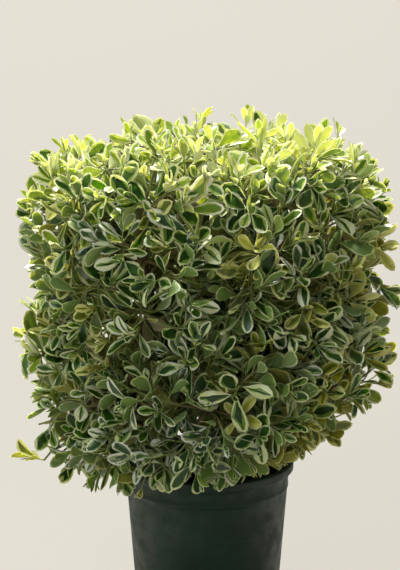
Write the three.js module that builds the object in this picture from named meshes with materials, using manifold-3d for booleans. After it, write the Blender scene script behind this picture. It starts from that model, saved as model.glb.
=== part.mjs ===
// A variegated Japanese spindle in a round nursery pot, about 0.9 m tall, for a patio or a hedge.
// Millimetres, +Z up, with the origin at the middle of the pot's flat underside. The front faces -Y.
// A short trunk forks low down into a leader and five main boughs, each main bough carries a side
// bough, and every limb ends in a mass of foliage: five lower, five upper and one on top.
import * as THREE from "three";
import { mergeVertices } from "three/addons/utils/BufferGeometryUtils.js";
import Module from "manifold-3d";

const wasm = await Module();
wasm.setup();

const UP = new THREE.Vector3(0, 0, 1);

// Clearance between pieces that sit against each other
const SEAT_GAP = 0.3;

// The pot, a five-gallon nursery can
const POT_HEIGHT = 280;
const POT_LIP_RADIUS = 149;
const POT_LIP_HEIGHT = 16;
const POT_SHOULDER_RADIUS = 142.5;
const POT_FOOT_RADIUS = 121;
const POT_WALL = 2.4;
const POT_FLOOR = 3.2;
const POT_SIDES = 36;
const DRAIN_HOLES = 6;
const DRAIN_WIDTH = 20;
const DRAIN_HEIGHT = 11;

// The potting mix, which fills the pot to a little under its rim
const SOIL_TOP = 252;

// The trunk, a low stool that the stems rise from
const TRUNK_WAIST_RADIUS = 19;
const TRUNK_HEIGHT = 58;
const TRUNK_LEAN_X = 3;
const TRUNK_LEAN_Y = -2;

// The limbs, each one tapering
const LIMB_SIDES = 6;
const BOUGHS = 5;
const BOUGH_FOOT_RADIUS = 8;
const BOUGH_TIP_RADIUS = 4.6;
const SIDE_BOUGH_FOOT_RADIUS = 5.6;
const SIDE_BOUGH_TIP_RADIUS = 4.2;
const LEADER_FOOT_RADIUS = 8.5;
const FIRST_BOUGH_TURN = 0.32;

// The crown's outline: a rounded box turned about the axis, with shallow lobes. Its foot hangs
// over the pot's rim, and is raised at the front right, where the rim shows.
const CROWN_FOOT = 236;
const CROWN_TOP = 894;
const CROWN_RADIUS = 320;
const HEAD_BOXINESS = 3.6;
const FOOT_BOXINESS = 4.6;
const FOOT_SLOPE = 0.26;
const FOOT_SLOPE_HEIGHT = 200;
const FOOT_RAISE = 0.24;
const FOOT_RAISED_TURN = -0.7;

// Shoots that stand out of the outline: where they are, and how far as a share of its radius
const STRAGGLERS = [
  { turn: 3.1, height: 272, out: 0.3 },
  { turn: 3.3, height: 505, out: 0.05 },
  { turn: -0.15, height: 545, out: 0.05 },
  { turn: 0.1, height: 410, out: 0.07 },
];
const STRAGGLER_SPREAD = 46;
const CROWN_MIDDLE = (CROWN_FOOT + CROWN_TOP) / 2;

// Where the masses of foliage sit
const LOWER_RING = { radius: 192, height: 394, raise: 160 };
const UPPER_RING = { radius: 186, height: 646 };
const TOP_HEIGHT = 702;
const STEM_SHOWS = 22;

// Half of each core's size outwards from the crown's axis, sideways and upwards. The cores are
// rounded blocks, and those of the rings widen outwards as their spaces do.
const LOWER_CORE = new THREE.Vector3(60, 93, 100);
const UPPER_CORE = new THREE.Vector3(60, 93, 117);
const TOP_CORE = new THREE.Vector3(71, 71, 124);
const CORE_BOXINESS = 2.6;

// How far leaves and twigs stay from the next mass's space, from the limbs and from the pot
const LEAF_MARGIN = 1.8;
const TWIG_MARGIN = 4;
const LIMB_MARGIN = 11;
const POT_MARGIN = 4;

// Twigs and leaves. The leaves are larger than life, because each stands for a few
const MAIN_TWIGS = 130;
const TWIG_SEED = 4100;
const TWIG_FOOT_RADIUS = 3.4;
const TWIG_TIP_RADIUS = 2.4;
const TWIG_STEPS = 2;
const BRANCHING_SPREAD = 0.75;
const TIP_DEPTH_LEAST = 46;
const TIP_DEPTH_MOST = 74;
const LEAF_PAIRS = [
  { back: 3, angle: 0.55 },
  { back: 30, angle: 0.95 },
  { back: 58, angle: 1.15 },
];
const LEAF_LENGTH = 84;
const LEAF_WIDTH = 45;
const LEAF_THICKNESS = 3;
const LEAF_FOLD = 4.5;
const LEAF_WIDEST = 0.6;
const LEAF_SINK = 0.5;
const LEAF_SPACING = 21;
const LEAF_TRIES = [
  { share: 1, tuck: 0 },
  { share: 0.88, tuck: 0.3 },
  { share: 0.74, tuck: 0.5 },
  { share: 0.6, tuck: 0.7 },
];
const CORE_LEAVES = 54;
const CORE_LEAF_SPACING = 25;
const CORE_LEAVES_FROM = -20;
const CORE_LEAF_ANGLE = 0.85;
const CORE_LEAF_ROOTS = 0.8;

// Colours, roughness and metalness
const LOOKS = {
  pot: { color: 0x2a3a31, roughness: 0.55, metalness: 0 },
  soil: { color: 0x2b2019, roughness: 1, metalness: 0 },
  bark: { color: 0x6b5a45, roughness: 0.9, metalness: 0 },
  foliage: { color: 0x8ea45c, roughness: 0.5, metalness: 0 },
};

// A repeatable stream of numbers from 0 to 1
function seeded(seed) {
  let state = seed >>> 0;
  return () => {
    state = (state + 0x6d2b79f5) >>> 0;
    let mixed = Math.imul(state ^ (state >>> 15), state | 1);
    mixed ^= mixed + Math.imul(mixed ^ (mixed >>> 7), mixed | 61);
    return ((mixed ^ (mixed >>> 14)) >>> 0) / 4294967296;
  };
}

// A closed geometry as a solid that can be joined and cut
function solidOf(geometry) {
  const bare = new THREE.BufferGeometry();
  bare.setAttribute("position", geometry.getAttribute("position").clone());
  bare.setIndex(geometry.getIndex());
  const merged = mergeVertices(bare, 1e-3);
  return new wasm.Manifold(
    new wasm.Mesh({
      numProp: 3,
      vertProperties: new Float32Array(merged.attributes.position.array),
      triVerts: new Uint32Array(merged.index.array),
    }),
  );
}

// The largest body of a solid, without loose scraps or sealed hollows, as a geometry
function geometryOf(solid) {
  const bodies = solid.decompose().sort((a, b) => b.volume() - a.volume());
  const mesh = bodies[0].simplify(0.02).getMesh();
  const position = new Float32Array(mesh.numVert * 3);
  for (let i = 0; i < mesh.numVert; i++) {
    position.set(mesh.vertProperties.subarray(i * mesh.numProp, i * mesh.numProp + 3), i * 3);
  }
  const geometry = new THREE.BufferGeometry();
  geometry.setAttribute("position", new THREE.BufferAttribute(position, 3));
  geometry.setIndex(new THREE.BufferAttribute(new Uint32Array(mesh.triVerts), 1));
  return geometry;
}

// The points along a limb and its radius at each, as a closed tube with flat ends
function tube(points, radii, sides) {
  const position = [];
  const index = [];
  const last = points.length - 1;
  let side = new THREE.Vector3(1, 0, 0);
  if (Math.abs(points[1].clone().sub(points[0]).normalize().x) > 0.8) {
    side.set(0, 1, 0);
  }
  points.forEach((point, i) => {
    const ahead = points[Math.min(i + 1, last)].clone().sub(points[Math.max(i - 1, 0)]).normalize();
    side = side.clone().addScaledVector(ahead, -side.dot(ahead)).normalize();
    const other = ahead.clone().cross(side);
    for (let k = 0; k < sides; k++) {
      const turn = (k / sides) * Math.PI * 2;
      const rim = point
        .clone()
        .addScaledVector(side, Math.cos(turn) * radii[i])
        .addScaledVector(other, Math.sin(turn) * radii[i]);
      position.push(rim.x, rim.y, rim.z);
    }
  });
  for (let i = 0; i < last; i++) {
    for (let k = 0; k < sides; k++) {
      const a = i * sides + k;
      const b = i * sides + ((k + 1) % sides);
      index.push(a, b, b + sides, a, b + sides, a + sides);
    }
  }
  for (let k = 1; k < sides - 1; k++) {
    index.push(0, k + 1, k);
    index.push(last * sides, last * sides + k, last * sides + k + 1);
  }
  const geometry = new THREE.BufferGeometry();
  geometry.setAttribute("position", new THREE.Float32BufferAttribute(position, 3));
  geometry.setIndex(index);
  return geometry;
}

// Radii that taper evenly from the foot of a limb to its tip
function taper(foot, tip, count) {
  return Array.from({ length: count }, (_, i) => foot + ((tip - foot) * i) / (count - 1));
}

// Height above ground and distance from the axis at an angle round it
function around(turn, radius, height) {
  return new THREE.Vector3(Math.cos(turn) * radius, Math.sin(turn) * radius, height);
}

// The distance from a point to the line through a limb's points
function distanceTo(point, points) {
  const nearest = new THREE.Vector3();
  let least = Infinity;
  for (let i = 0; i + 1 < points.length; i++) {
    const stretch = new THREE.Line3(points[i], points[i + 1]);
    stretch.closestPointToPoint(point, true, nearest);
    least = Math.min(least, nearest.distanceTo(point));
  }
  return least;
}

// The crown's half height and boxiness, above or below its middle
function crownHalf(height) {
  const boxiness = height > CROWN_MIDDLE ? HEAD_BOXINESS : FOOT_BOXINESS;
  return { half: (CROWN_TOP - CROWN_FOOT) / 2, boxiness };
}

// How far the crown's foot is raised at an angle round the axis, as a share of its lower half
function raised(turn) {
  return FOOT_RAISE * Math.pow(0.5 + 0.5 * Math.cos(turn - FOOT_RAISED_TURN), 2);
}

// How far above or below the crown's middle a height would be if its foot weren't raised
function plainRise(turn, height) {
  const rise = height - CROWN_MIDDLE;
  return rise < 0 ? rise / (1 - raised(turn)) : rise;
}

// The crown's radius at an angle and a height, before its lobes
function crownRadius(turn, height) {
  const { half, boxiness } = crownHalf(height);
  const share = Math.min(Math.abs(plainRise(turn, height)) / half, 1);
  return CROWN_RADIUS * Math.pow(1 - Math.pow(share, boxiness), 1 / boxiness);
}

// How far lobes, stragglers and the sloping foot push the crown's side out or in, as a share
function lobe(turn, height) {
  let share = 1 + 0.022 * Math.sin(2 * turn + 0.5) + 0.018 * Math.sin(5 * turn + height / 85);
  share += 0.02 * Math.sin(3 * turn - 1.1 + height / 150);
  const low = Math.min(Math.max((CROWN_FOOT + FOOT_SLOPE_HEIGHT - height) / FOOT_SLOPE_HEIGHT, 0), 1);
  share -= FOOT_SLOPE * low * Math.max(0, Math.cos(turn));
  for (const { turn: at, height: level, out } of STRAGGLERS) {
    const aside = 2 * Math.sin((turn - at) / 2) * CROWN_RADIUS;
    share += out * Math.exp(-(aside ** 2 + (height - level) ** 2) / STRAGGLER_SPREAD ** 2);
  }
  return share;
}

// Under 1 inside the crown's outline, and over 1 outside it
function crownShare(point) {
  const { half, boxiness } = crownHalf(point.z);
  const turn = Math.atan2(point.y, point.x);
  const radius = Math.hypot(point.x, point.y) / lobe(turn, point.z);
  const rise = Math.abs(plainRise(turn, point.z));
  return Math.pow(radius / CROWN_RADIUS, boxiness) + Math.pow(rise / half, boxiness);
}

// The crown's profile from its top to an unraised foot, with the area turned so far at each step
function crownProfile() {
  const steps = 240;
  const profile = [];
  let area = 0;
  for (let i = 0; i <= steps; i++) {
    const angle = (Math.PI * i) / steps;
    const rise = Math.cos(angle);
    const { half, boxiness } = crownHalf(CROWN_MIDDLE + rise);
    const radius = CROWN_RADIUS * Math.pow(Math.sin(angle), 2 / boxiness);
    const height = CROWN_MIDDLE + half * Math.sign(rise) * Math.pow(Math.abs(rise), 2 / boxiness);
    if (i > 0) {
      const before = profile[i - 1];
      area += Math.hypot(radius - before.radius, height - before.height) * (radius + before.radius);
    }
    profile.push({ radius, height, area });
  }
  return profile;
}

// Points spread evenly over the crown's outline, each with the outward direction there
function crownPoints(count) {
  const profile = crownProfile();
  const golden = Math.PI * (3 - Math.sqrt(5));
  const found = [];
  let at = 1;
  for (let k = 0; k < count; k++) {
    const wanted = (profile.at(-1).area * (k + 0.5)) / count;
    while (profile[at].area < wanted) at++;
    const before = profile[at - 1];
    const after = profile[at];
    const share = (wanted - before.area) / (after.area - before.area);
    const turn = k * golden;
    let height = before.height + (after.height - before.height) * share;
    if (height < CROWN_MIDDLE) height += (CROWN_MIDDLE - height) * raised(turn);
    const radius = (before.radius + (after.radius - before.radius) * share) * lobe(turn, height);
    const slope = Math.atan2(before.height - after.height, after.radius - before.radius);
    const overPot = radius < POT_LIP_RADIUS + 16 && height < POT_HEIGHT;
    const outward = around(turn, Math.sin(slope), Math.cos(slope));
    if (!overPot) found.push({ point: around(turn, radius, height), outward });
  }
  for (const { turn, height } of STRAGGLERS) {
    const radius = crownRadius(turn, height) * lobe(turn, height);
    found.push({ point: around(turn, radius, height), outward: around(turn, 1, 0) });
  }
  return found;
}

// The outer radius of the pot's wall at a height
function wallRadius(height) {
  return POT_FOOT_RADIUS + ((POT_SHOULDER_RADIUS - POT_FOOT_RADIUS) * height) / POT_HEIGHT;
}

// A profile of radius and height pairs, turned about the axis
function turned(profile) {
  const lathe = new THREE.LatheGeometry(profile.map(([r, z]) => new THREE.Vector2(r, z)), POT_SIDES);
  return solidOf(lathe.rotateX(Math.PI / 2));
}

// The pot: a tapering wall, a rolled lip, a flat floor and drain holes at its foot
function potGeometry() {
  const lipFoot = POT_HEIGHT - POT_LIP_HEIGHT;
  let pot = turned([
    [0, 0],
    [POT_FOOT_RADIUS - 3, 0],
    [wallRadius(4), 4],
    [wallRadius(lipFoot), lipFoot],
    [POT_LIP_RADIUS, lipFoot + 1.5],
    [POT_LIP_RADIUS, POT_HEIGHT - 4],
    [POT_LIP_RADIUS - 3, POT_HEIGHT],
    [wallRadius(POT_HEIGHT) - POT_WALL + 1, POT_HEIGHT],
    [wallRadius(lipFoot) - POT_WALL, lipFoot],
    [wallRadius(POT_FLOOR) - POT_WALL, POT_FLOOR],
    [0, POT_FLOOR],
  ]);
  for (let i = 0; i < DRAIN_HOLES; i++) {
    const hole = new THREE.BoxGeometry(16, DRAIN_WIDTH, DRAIN_HEIGHT);
    hole.translate(POT_FOOT_RADIUS, 0, DRAIN_HEIGHT / 2 + POT_FLOOR + 2);
    hole.rotateZ((i / DRAIN_HOLES) * Math.PI * 2 + Math.PI / POT_SIDES);
    pot = pot.subtract(solidOf(hole));
  }
  return geometryOf(pot);
}

// The potting mix, a plug a hair smaller than the pot's inside
function soilGeometry() {
  const clear = POT_WALL + SEAT_GAP + 0.3;
  return geometryOf(
    turned([
      [0, POT_FLOOR + SEAT_GAP],
      [wallRadius(POT_FLOOR) - clear, POT_FLOOR + SEAT_GAP],
      [wallRadius(SOIL_TOP - 5) - clear, SOIL_TOP - 5],
      [wallRadius(SOIL_TOP) - clear - 7, SOIL_TOP],
      [0, SOIL_TOP],
    ]),
  );
}

// The trunk's middle line, from a little below its flat cut to the fork
function trunkLine() {
  const foot = SOIL_TOP + SEAT_GAP;
  const shares = [-0.1, 0.08, 0.28, 0.55, 0.8, 1];
  const lean = new THREE.Vector3(TRUNK_LEAN_X, TRUNK_LEAN_Y, TRUNK_HEIGHT);
  return shares.map((share) => new THREE.Vector3(0, 0, foot).addScaledVector(lean, share));
}

// The trunk: a flared foot cut flat on the potting mix, a waist, and a swelling under the fork
function trunkSolid(extra) {
  const points = trunkLine();
  points.at(-1).z += extra;
  const radii = [1.55, 1.3, 1.04, 0.97, 1.06, 0.84].map((r) => r * TRUNK_WAIST_RADIUS + extra);
  return solidOf(tube(points, radii, 12)).trimByPlane([0, 0, 1], SOIL_TOP + SEAT_GAP);
}

// A smooth line of points through a few chosen ones
function smoothLine(chosen, count) {
  const curve = new THREE.CatmullRomCurve3(chosen, false, "centripetal");
  return curve.getSpacedPoints(count);
}

// A step away from a mass's middle, measured outwards from the axis, sideways and upwards
function inFrame(step, plan) {
  return step.clone().applyAxisAngle(UP, -plan.turn);
}

// The length of a step for a rounded block: 1 on the surface of one of half size 1
function blockLength({ x, y, z }) {
  const sum = [x, y, z].reduce((total, side) => total + Math.pow(Math.abs(side), CORE_BOXINESS), 0);
  return Math.pow(sum, 1 / CORE_BOXINESS);
}

// How much wider than at its middle a ring's core is, a step outwards from there
function widening(plan, outwards) {
  return plan.name === "top" ? 1 : 1 + outwards / Math.hypot(plan.middle.x, plan.middle.y);
}

// How far out a point is from a mass's middle, as a share of its core's size that way
function coreShare(point, plan) {
  const step = inFrame(point.clone().sub(plan.middle), plan);
  step.y /= Math.max(widening(plan, step.x), 0.1);
  return blockLength(step.divide(plan.core));
}

// The tip of a limb that comes to a mass from a given point: it shows a little short of the core
function tipBelow(plan, from) {
  const back = from.clone().sub(plan.middle).normalize();
  const reach = 1 / blockLength(inFrame(back, plan).divide(plan.core));
  return plan.middle.clone().addScaledVector(back, reach + STEM_SHOWS);
}

// Where each mass sits, the size of its core and what leads to it
function massPlans() {
  const fork = trunkLine().at(-1);
  const stride = (Math.PI * 2) / BOUGHS;
  const plans = [];
  for (let k = 0; k < BOUGHS; k++) {
    const turn = FIRST_BOUGH_TURN + k * stride;
    const swing = 0.07 * Math.sin(k * 2.3 + 0.4);
    const plan = {
      name: `upper_${k + 1}`,
      limb: `bough_${k + 1}`,
      middle: around(turn + swing, UPPER_RING.radius, UPPER_RING.height + 10 * Math.cos(k * 1.9)),
      turn: turn + swing,
      core: UPPER_CORE,
    };
    const chosen = [
      around(turn, 8, fork.z - 22),
      around(turn, 22, fork.z + 4),
      around(turn + swing * 0.3, 47 + 4 * Math.sin(k), 368),
      around(turn + swing * 0.6, 88, 440),
      tipBelow(plan, around(turn + swing * 0.8, 126, 500)),
    ];
    plans.push({ ...plan, line: smoothLine(chosen, 6) });
  }
  for (let k = 0; k < BOUGHS; k++) {
    const turn = FIRST_BOUGH_TURN + (k + 0.5) * stride;
    const height = LOWER_RING.height + LOWER_RING.raise * raised(turn) + 9 * Math.sin(k * 2.6 + 1);
    const plan = {
      name: `lower_${k + 1}`,
      limb: `side_bough_${k + 1}`,
      middle: around(turn, LOWER_RING.radius, height),
      turn,
      core: LOWER_CORE,
      parent: k,
    };
    const leave = plans[k].line[3];
    const tip = tipBelow(plan, around(turn - 0.2, 60, leave.z + 10));
    const bend = leave.clone().lerp(tip, 0.5).addScaledVector(UP, 5);
    plans.push({ ...plan, line: smoothLine([leave, bend, tip], 4) });
  }
  const middle = new THREE.Vector3(4, 6, TOP_HEIGHT);
  const top = { name: "top", limb: "leader", middle, turn: 0, core: TOP_CORE };
  const chosen = [
    new THREE.Vector3(fork.x, fork.y, fork.z - 12),
    new THREE.Vector3(-4, 5, 400),
    new THREE.Vector3(5, -3, 480),
    tipBelow(top, new THREE.Vector3(4, 2, 500)),
  ];
  plans.push({ ...top, line: smoothLine(chosen, 6) });
  return plans;
}

// A tapering limb along a line, every radius swelled by a given amount
function limbSolid(line, foot, tip, swell) {
  return solidOf(tube(line, taper(foot + swell, tip + swell, line.length), LIMB_SIDES));
}

// The limb that leads to a mass, cut clear of whatever it grows from
function limbGeometry(plan, plans) {
  if (plan.parent !== undefined) {
    const carrier = limbSolid(plans[plan.parent].line, BOUGH_FOOT_RADIUS, BOUGH_TIP_RADIUS, SEAT_GAP);
    const limb = limbSolid(plan.line, SIDE_BOUGH_FOOT_RADIUS, SIDE_BOUGH_TIP_RADIUS, 0);
    return geometryOf(limb.subtract(carrier));
  }
  const foot = plan.name === "top" ? LEADER_FOOT_RADIUS : BOUGH_FOOT_RADIUS;
  return geometryOf(limbSolid(plan.line, foot, BOUGH_TIP_RADIUS, 0).subtract(trunkSolid(SEAT_GAP)));
}

// The stem inside a mass: on from the limb's tip, through the middle and a little beyond
function stemLine(plan) {
  const tip = plan.line.at(-1);
  const way = tip.clone().sub(plan.line.at(-2)).normalize();
  const foot = tip.clone().addScaledVector(way, SEAT_GAP);
  const beyond = plan.middle.clone().lerp(tip, -0.4);
  return [foot, foot.clone().addScaledVector(way, 9), plan.middle, beyond];
}

// A twig's line: it leaves the stem at a branching angle and bends towards its own tip
function twigLine(parent, tip, steps) {
  let best = null;
  for (let i = 0; i + 1 < parent.length; i++) {
    const length = parent[i].distanceTo(parent[i + 1]);
    const way = parent[i + 1].clone().sub(parent[i]).normalize();
    const reach = tip.clone().sub(parent[i]).dot(way);
    const off = Math.sqrt(Math.max(0, tip.distanceToSquared(parent[i]) - reach * reach));
    const at = Math.min(Math.max(reach - off * BRANCHING_SPREAD, 0), length);
    const foot = parent[i].clone().addScaledVector(way, at);
    const cost = foot.distanceTo(tip) - 0.25 * at;
    if (best === null || cost < best.cost) best = { foot, way, cost };
  }
  const run = best.foot.distanceTo(tip);
  const half = best.foot.clone().lerp(tip, 0.5);
  const bend = best.foot.clone().addScaledVector(best.way, run * 0.3).lerp(half, 0.45);
  bend.z -= run * 0.06;
  return new THREE.QuadraticBezierCurve3(best.foot, bend, tip).getPoints(steps);
}

// One leaf's corners: a thin blade, widest past its middle and folded a little along its rib. It
// leaves its twig at an angle, less what it is tucked in by.
function leafCorners({ root, axis, away, angle, size: full }, { share, tuck }) {
  const size = full * share;
  const along = axis.clone().multiplyScalar(Math.cos(angle - tuck));
  along.addScaledVector(away, Math.sin(angle - tuck));
  along.z += 0.1;
  along.normalize();
  const upper = axis.clone().addScaledVector(along, -axis.dot(along)).normalize();
  const across = upper.clone().cross(along);
  const middle = root.clone().addScaledVector(along, LEAF_LENGTH * size * LEAF_WIDEST);
  const edge = middle.clone().addScaledVector(upper, LEAF_FOLD * size);
  return [
    root.clone().addScaledVector(along, -LEAF_SINK),
    root.clone().addScaledVector(along, LEAF_LENGTH * size).addScaledVector(upper, -LEAF_FOLD * size),
    edge.clone().addScaledVector(across, (LEAF_WIDTH * size) / 2),
    edge.clone().addScaledVector(across, (-LEAF_WIDTH * size) / 2),
    middle.clone().addScaledVector(upper, LEAF_THICKNESS / 2),
    middle.clone().addScaledVector(upper, -LEAF_THICKNESS / 2),
  ];
}

function leafGeometry(corners) {
  const position = corners.flatMap((corner) => corner.toArray());
  const geometry = new THREE.BufferGeometry();
  geometry.setAttribute("position", new THREE.Float32BufferAttribute(position, 3));
  geometry.setIndex([0, 3, 4, 3, 1, 4, 1, 2, 4, 2, 0, 4, 3, 0, 5, 1, 3, 5, 2, 1, 5, 0, 2, 5]);
  return geometry;
}

// True if a point is in the mass's own space by a margin, and clear of the pot and the limbs
function fits(point, margin, plan, plans) {
  const fromAxis = Math.hypot(point.x, point.y);
  if (crownShare(point) > 1) return false;
  if (fromAxis < POT_LIP_RADIUS + POT_MARGIN && point.z < POT_HEIGHT + POT_MARGIN) return false;
  const own = point.distanceToSquared(plan.middle);
  return plans.every((other) => {
    if (distanceTo(point, other.line) < LIMB_MARGIN) return false;
    const apart = plan.middle.distanceTo(other.middle);
    return other === plan || point.distanceToSquared(other.middle) - own > 2 * margin * apart;
  });
}

// True if points all over a leaf are in its mass's space and touch no limb
function leafFits([base, tip, left, right], plan, plans) {
  const samples = [tip, left, right];
  for (const share of [0.15, 0.35, 0.55, 0.78]) {
    samples.push(base.clone().lerp(tip, share));
  }
  samples.push(base.clone().lerp(left, 0.5), base.clone().lerp(right, 0.5));
  samples.push(tip.clone().lerp(left, 0.5), tip.clone().lerp(right, 0.5));
  return samples.every((p) => fits(p, LEAF_MARGIN, plan, plans));
}

// The point a given way back from a line's tip, and the line's direction there
function backAlong(line, back) {
  let left = back;
  for (let i = line.length - 1; i > 0; i--) {
    const length = line[i].distanceTo(line[i - 1]);
    const axis = line[i].clone().sub(line[i - 1]).normalize();
    if (left <= length) return { root: line[i].clone().addScaledVector(axis, -left), axis };
    left -= length;
  }
  return null;
}

// The leaves of one twig, in pairs, each pair a quarter turn from the last
function twigLeaves(line, random) {
  const leaves = [];
  const firstTurn = random() * Math.PI;
  LEAF_PAIRS.forEach((pair, n) => {
    const place = backAlong(line, pair.back);
    if (place === null) return;
    const { root, axis } = place;
    const start = UP.clone().cross(axis).normalize();
    for (let side = 0; side < 2; side++) {
      const turn = firstTurn + (n * Math.PI) / 2 + side * Math.PI + (random() - 0.5) * 0.5;
      const angle = pair.angle + (random() - 0.5) * 0.3;
      const away = start.clone().applyAxisAngle(axis, turn);
      leaves.push({ root, axis, away, angle, size: 0.86 + 0.28 * random() });
    }
  });
  return leaves;
}

// The core of a mass: a rounded, slightly uneven block
function coreGeometry(plan, random) {
  const ball = new THREE.IcosahedronGeometry(1, 1);
  const core = mergeVertices(ball.deleteAttribute("normal").deleteAttribute("uv"));
  const place = core.getAttribute("position");
  for (let i = 0; i < place.count; i++) {
    const corner = new THREE.Vector3().fromBufferAttribute(place, i);
    corner.multiplyScalar((0.93 + 0.14 * random()) / blockLength(corner)).multiply(plan.core);
    place.setXYZ(i, corner.x, corner.y * widening(plan, corner.x), corner.z);
  }
  return core.rotateZ(plan.turn).translate(plan.middle.x, plan.middle.y, plan.middle.z);
}

// Leaves that stand out of the core itself, spread evenly over it
function coreLeaves(plan, random) {
  const golden = Math.PI * (3 - Math.sqrt(5));
  const leaves = [];
  for (let k = 0; k < CORE_LEAVES; k++) {
    const rise = 1 - (2 * k + 1) / CORE_LEAVES;
    const spot = around(k * golden, Math.sqrt(1 - rise * rise), rise);
    const out = spot.clone().divide(plan.core).normalize().applyAxisAngle(UP, plan.turn);
    const root = spot.divideScalar(blockLength(spot)).multiply(plan.core).multiplyScalar(CORE_LEAF_ROOTS);
    root.y *= widening(plan, root.x);
    root.applyAxisAngle(UP, plan.turn).add(plan.middle);
    const away = out.clone().cross(around(random() * Math.PI * 2, 1, 0.4)).normalize();
    const size = 0.95 + 0.25 * random();
    const outwards = Math.hypot(root.x, root.y) - Math.hypot(plan.middle.x, plan.middle.y);
    if (outwards > CORE_LEAVES_FROM) leaves.push({ root, axis: out, away, angle: CORE_LEAF_ANGLE, size });
  }
  return leaves;
}

// One mass of foliage: its stem, core, twigs and leaves in one closed solid
function foliageGeometry(plan, number, plans, tips) {
  const random = seeded(TWIG_SEED + number);
  const stem = stemLine(plan);
  const tipRadius = plan.parent === undefined ? BOUGH_TIP_RADIUS : SIDE_BOUGH_TIP_RADIUS;
  const parts = [solidOf(coreGeometry(plan, random))];
  parts.push(limbSolid(stem.slice(0, 3), tipRadius, tipRadius * 0.8, 0));
  const centres = [];
  const leaves = [];
  const addLeaf = (leaf, spacing) => {
    for (const attempt of LEAF_TRIES) {
      const corners = leafCorners(leaf, attempt);
      const centre = corners[4];
      if (!leafFits(corners, plan, plans) || coreShare(centre, plan) < 1.1) continue;
      if (centres.some((c) => c.distanceTo(centre) < spacing)) continue;
      const solid = solidOf(leafGeometry(corners));
      if (leaves.some((other) => !solid.intersect(other).isEmpty())) continue;
      centres.push(centre);
      leaves.push(solid);
      return;
    }
  };
  for (const { point, outward } of tips) {
    const depth = TIP_DEPTH_LEAST + (TIP_DEPTH_MOST - TIP_DEPTH_LEAST) * random();
    const tip = point.clone().addScaledVector(outward, -depth);
    const line = twigLine(stem, tip, TWIG_STEPS);
    const outside = line.filter((p) => coreShare(p, plan) > 1);
    if (!outside.every((p) => fits(p, TWIG_MARGIN, plan, plans))) continue;
    parts.push(solidOf(tube(line, taper(TWIG_FOOT_RADIUS, TWIG_TIP_RADIUS, line.length), 3)));
    twigLeaves(line, random).forEach((leaf) => addLeaf(leaf, LEAF_SPACING));
  }
  coreLeaves(plan, random).forEach((leaf) => addLeaf(leaf, CORE_LEAF_SPACING));
  return geometryOf(wasm.Manifold.union(parts.concat(leaves)));
}

// The crown's points that belong to each mass, by the nearest middle
function sharedOut(points, plans) {
  const shares = plans.map(() => []);
  for (const found of points) {
    const inner = found.point.clone().addScaledVector(found.outward, -TIP_DEPTH_LEAST);
    const distances = plans.map((p) => p.middle.distanceTo(inner));
    shares[distances.indexOf(Math.min(...distances))].push(found);
  }
  return shares;
}

function piece(name, geometry, look) {
  const mesh = new THREE.Mesh(geometry, new THREE.MeshStandardMaterial(LOOKS[look]));
  mesh.name = name;
  return mesh;
}

const plant = new THREE.Group();
const plans = massPlans();
const tips = sharedOut(crownPoints(MAIN_TWIGS), plans);
plant.add(piece("pot", potGeometry(), "pot"));
plant.add(piece("soil", soilGeometry(), "soil"));
plant.add(piece("trunk", geometryOf(trunkSolid(0)), "bark"));
plans.forEach((plan, number) => {
  plant.add(piece(plan.limb, limbGeometry(plan, plans), "bark"));
  plant.add(piece(`foliage_${plan.name}`, foliageGeometry(plan, number, plans, tips[number]), "foliage"));
});

export default plant;
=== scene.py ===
# A variegated Japanese spindle in a round nursery pot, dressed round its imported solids. The foliage
# follows the rule of the part's source, with the same sizes and seeds, and carries it to finer
# shoots with leaves of nearly natural size. Sizes are in millimetres until a mesh is made. The
# front faces -Y.
import math

import bpy
import numpy as np
from mathutils import Euler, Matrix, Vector, noise


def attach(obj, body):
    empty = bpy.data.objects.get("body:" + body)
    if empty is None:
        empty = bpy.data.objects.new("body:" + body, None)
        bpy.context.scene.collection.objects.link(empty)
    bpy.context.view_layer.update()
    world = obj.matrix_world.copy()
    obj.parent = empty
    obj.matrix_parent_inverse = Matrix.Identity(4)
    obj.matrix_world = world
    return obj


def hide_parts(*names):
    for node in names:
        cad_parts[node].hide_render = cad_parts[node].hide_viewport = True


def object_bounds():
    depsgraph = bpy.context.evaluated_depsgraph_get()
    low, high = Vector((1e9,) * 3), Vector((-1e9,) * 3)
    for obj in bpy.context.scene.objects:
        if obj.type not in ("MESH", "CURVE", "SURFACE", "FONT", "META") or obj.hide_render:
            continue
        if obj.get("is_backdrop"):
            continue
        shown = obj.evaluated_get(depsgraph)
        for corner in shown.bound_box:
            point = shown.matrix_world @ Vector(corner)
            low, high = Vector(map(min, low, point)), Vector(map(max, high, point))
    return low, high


MM = 0.001
UP = np.array([0.0, 0.0, 1.0])
GOLDEN = math.pi * (3 - math.sqrt(5))

# The pot and the potting mix, as in the source
POT_HEIGHT = 280
POT_LIP_RADIUS = 149
POT_LIP_DEPTH = 16
POT_SHOULDER_RADIUS = 142.5
POT_FOOT_RADIUS = 121
POT_WALL = 2.4
POT_FLOOR = 3.2
POT_SIDES = 108
DRAIN_HOLES = 6
DRAIN_WIDTH = 20
DRAIN_HEIGHT = 11
DRAIN_TURN = math.pi / 36
DRAIN_ROUND = 3
SOIL_TOP = 252

# The trunk and the limbs, as in the source
TRUNK_FOOT = SOIL_TOP + 0.3
TRUNK_WAIST_RADIUS = 19
TRUNK_LEAN = (3, -2, 58)
TRUNK_SHARES = (-0.1, 0.08, 0.28, 0.55, 0.8, 1)
TRUNK_FLARE = (1.55, 1.3, 1.04, 0.97, 1.06, 0.84)
BOUGHS = 5
BOUGH_RADII = (8, 4.6)
SIDE_BOUGH_RADII = (5.6, 4.2)
LEADER_RADII = (8.5, 4.6)
FIRST_BOUGH_TURN = 0.32

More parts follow.
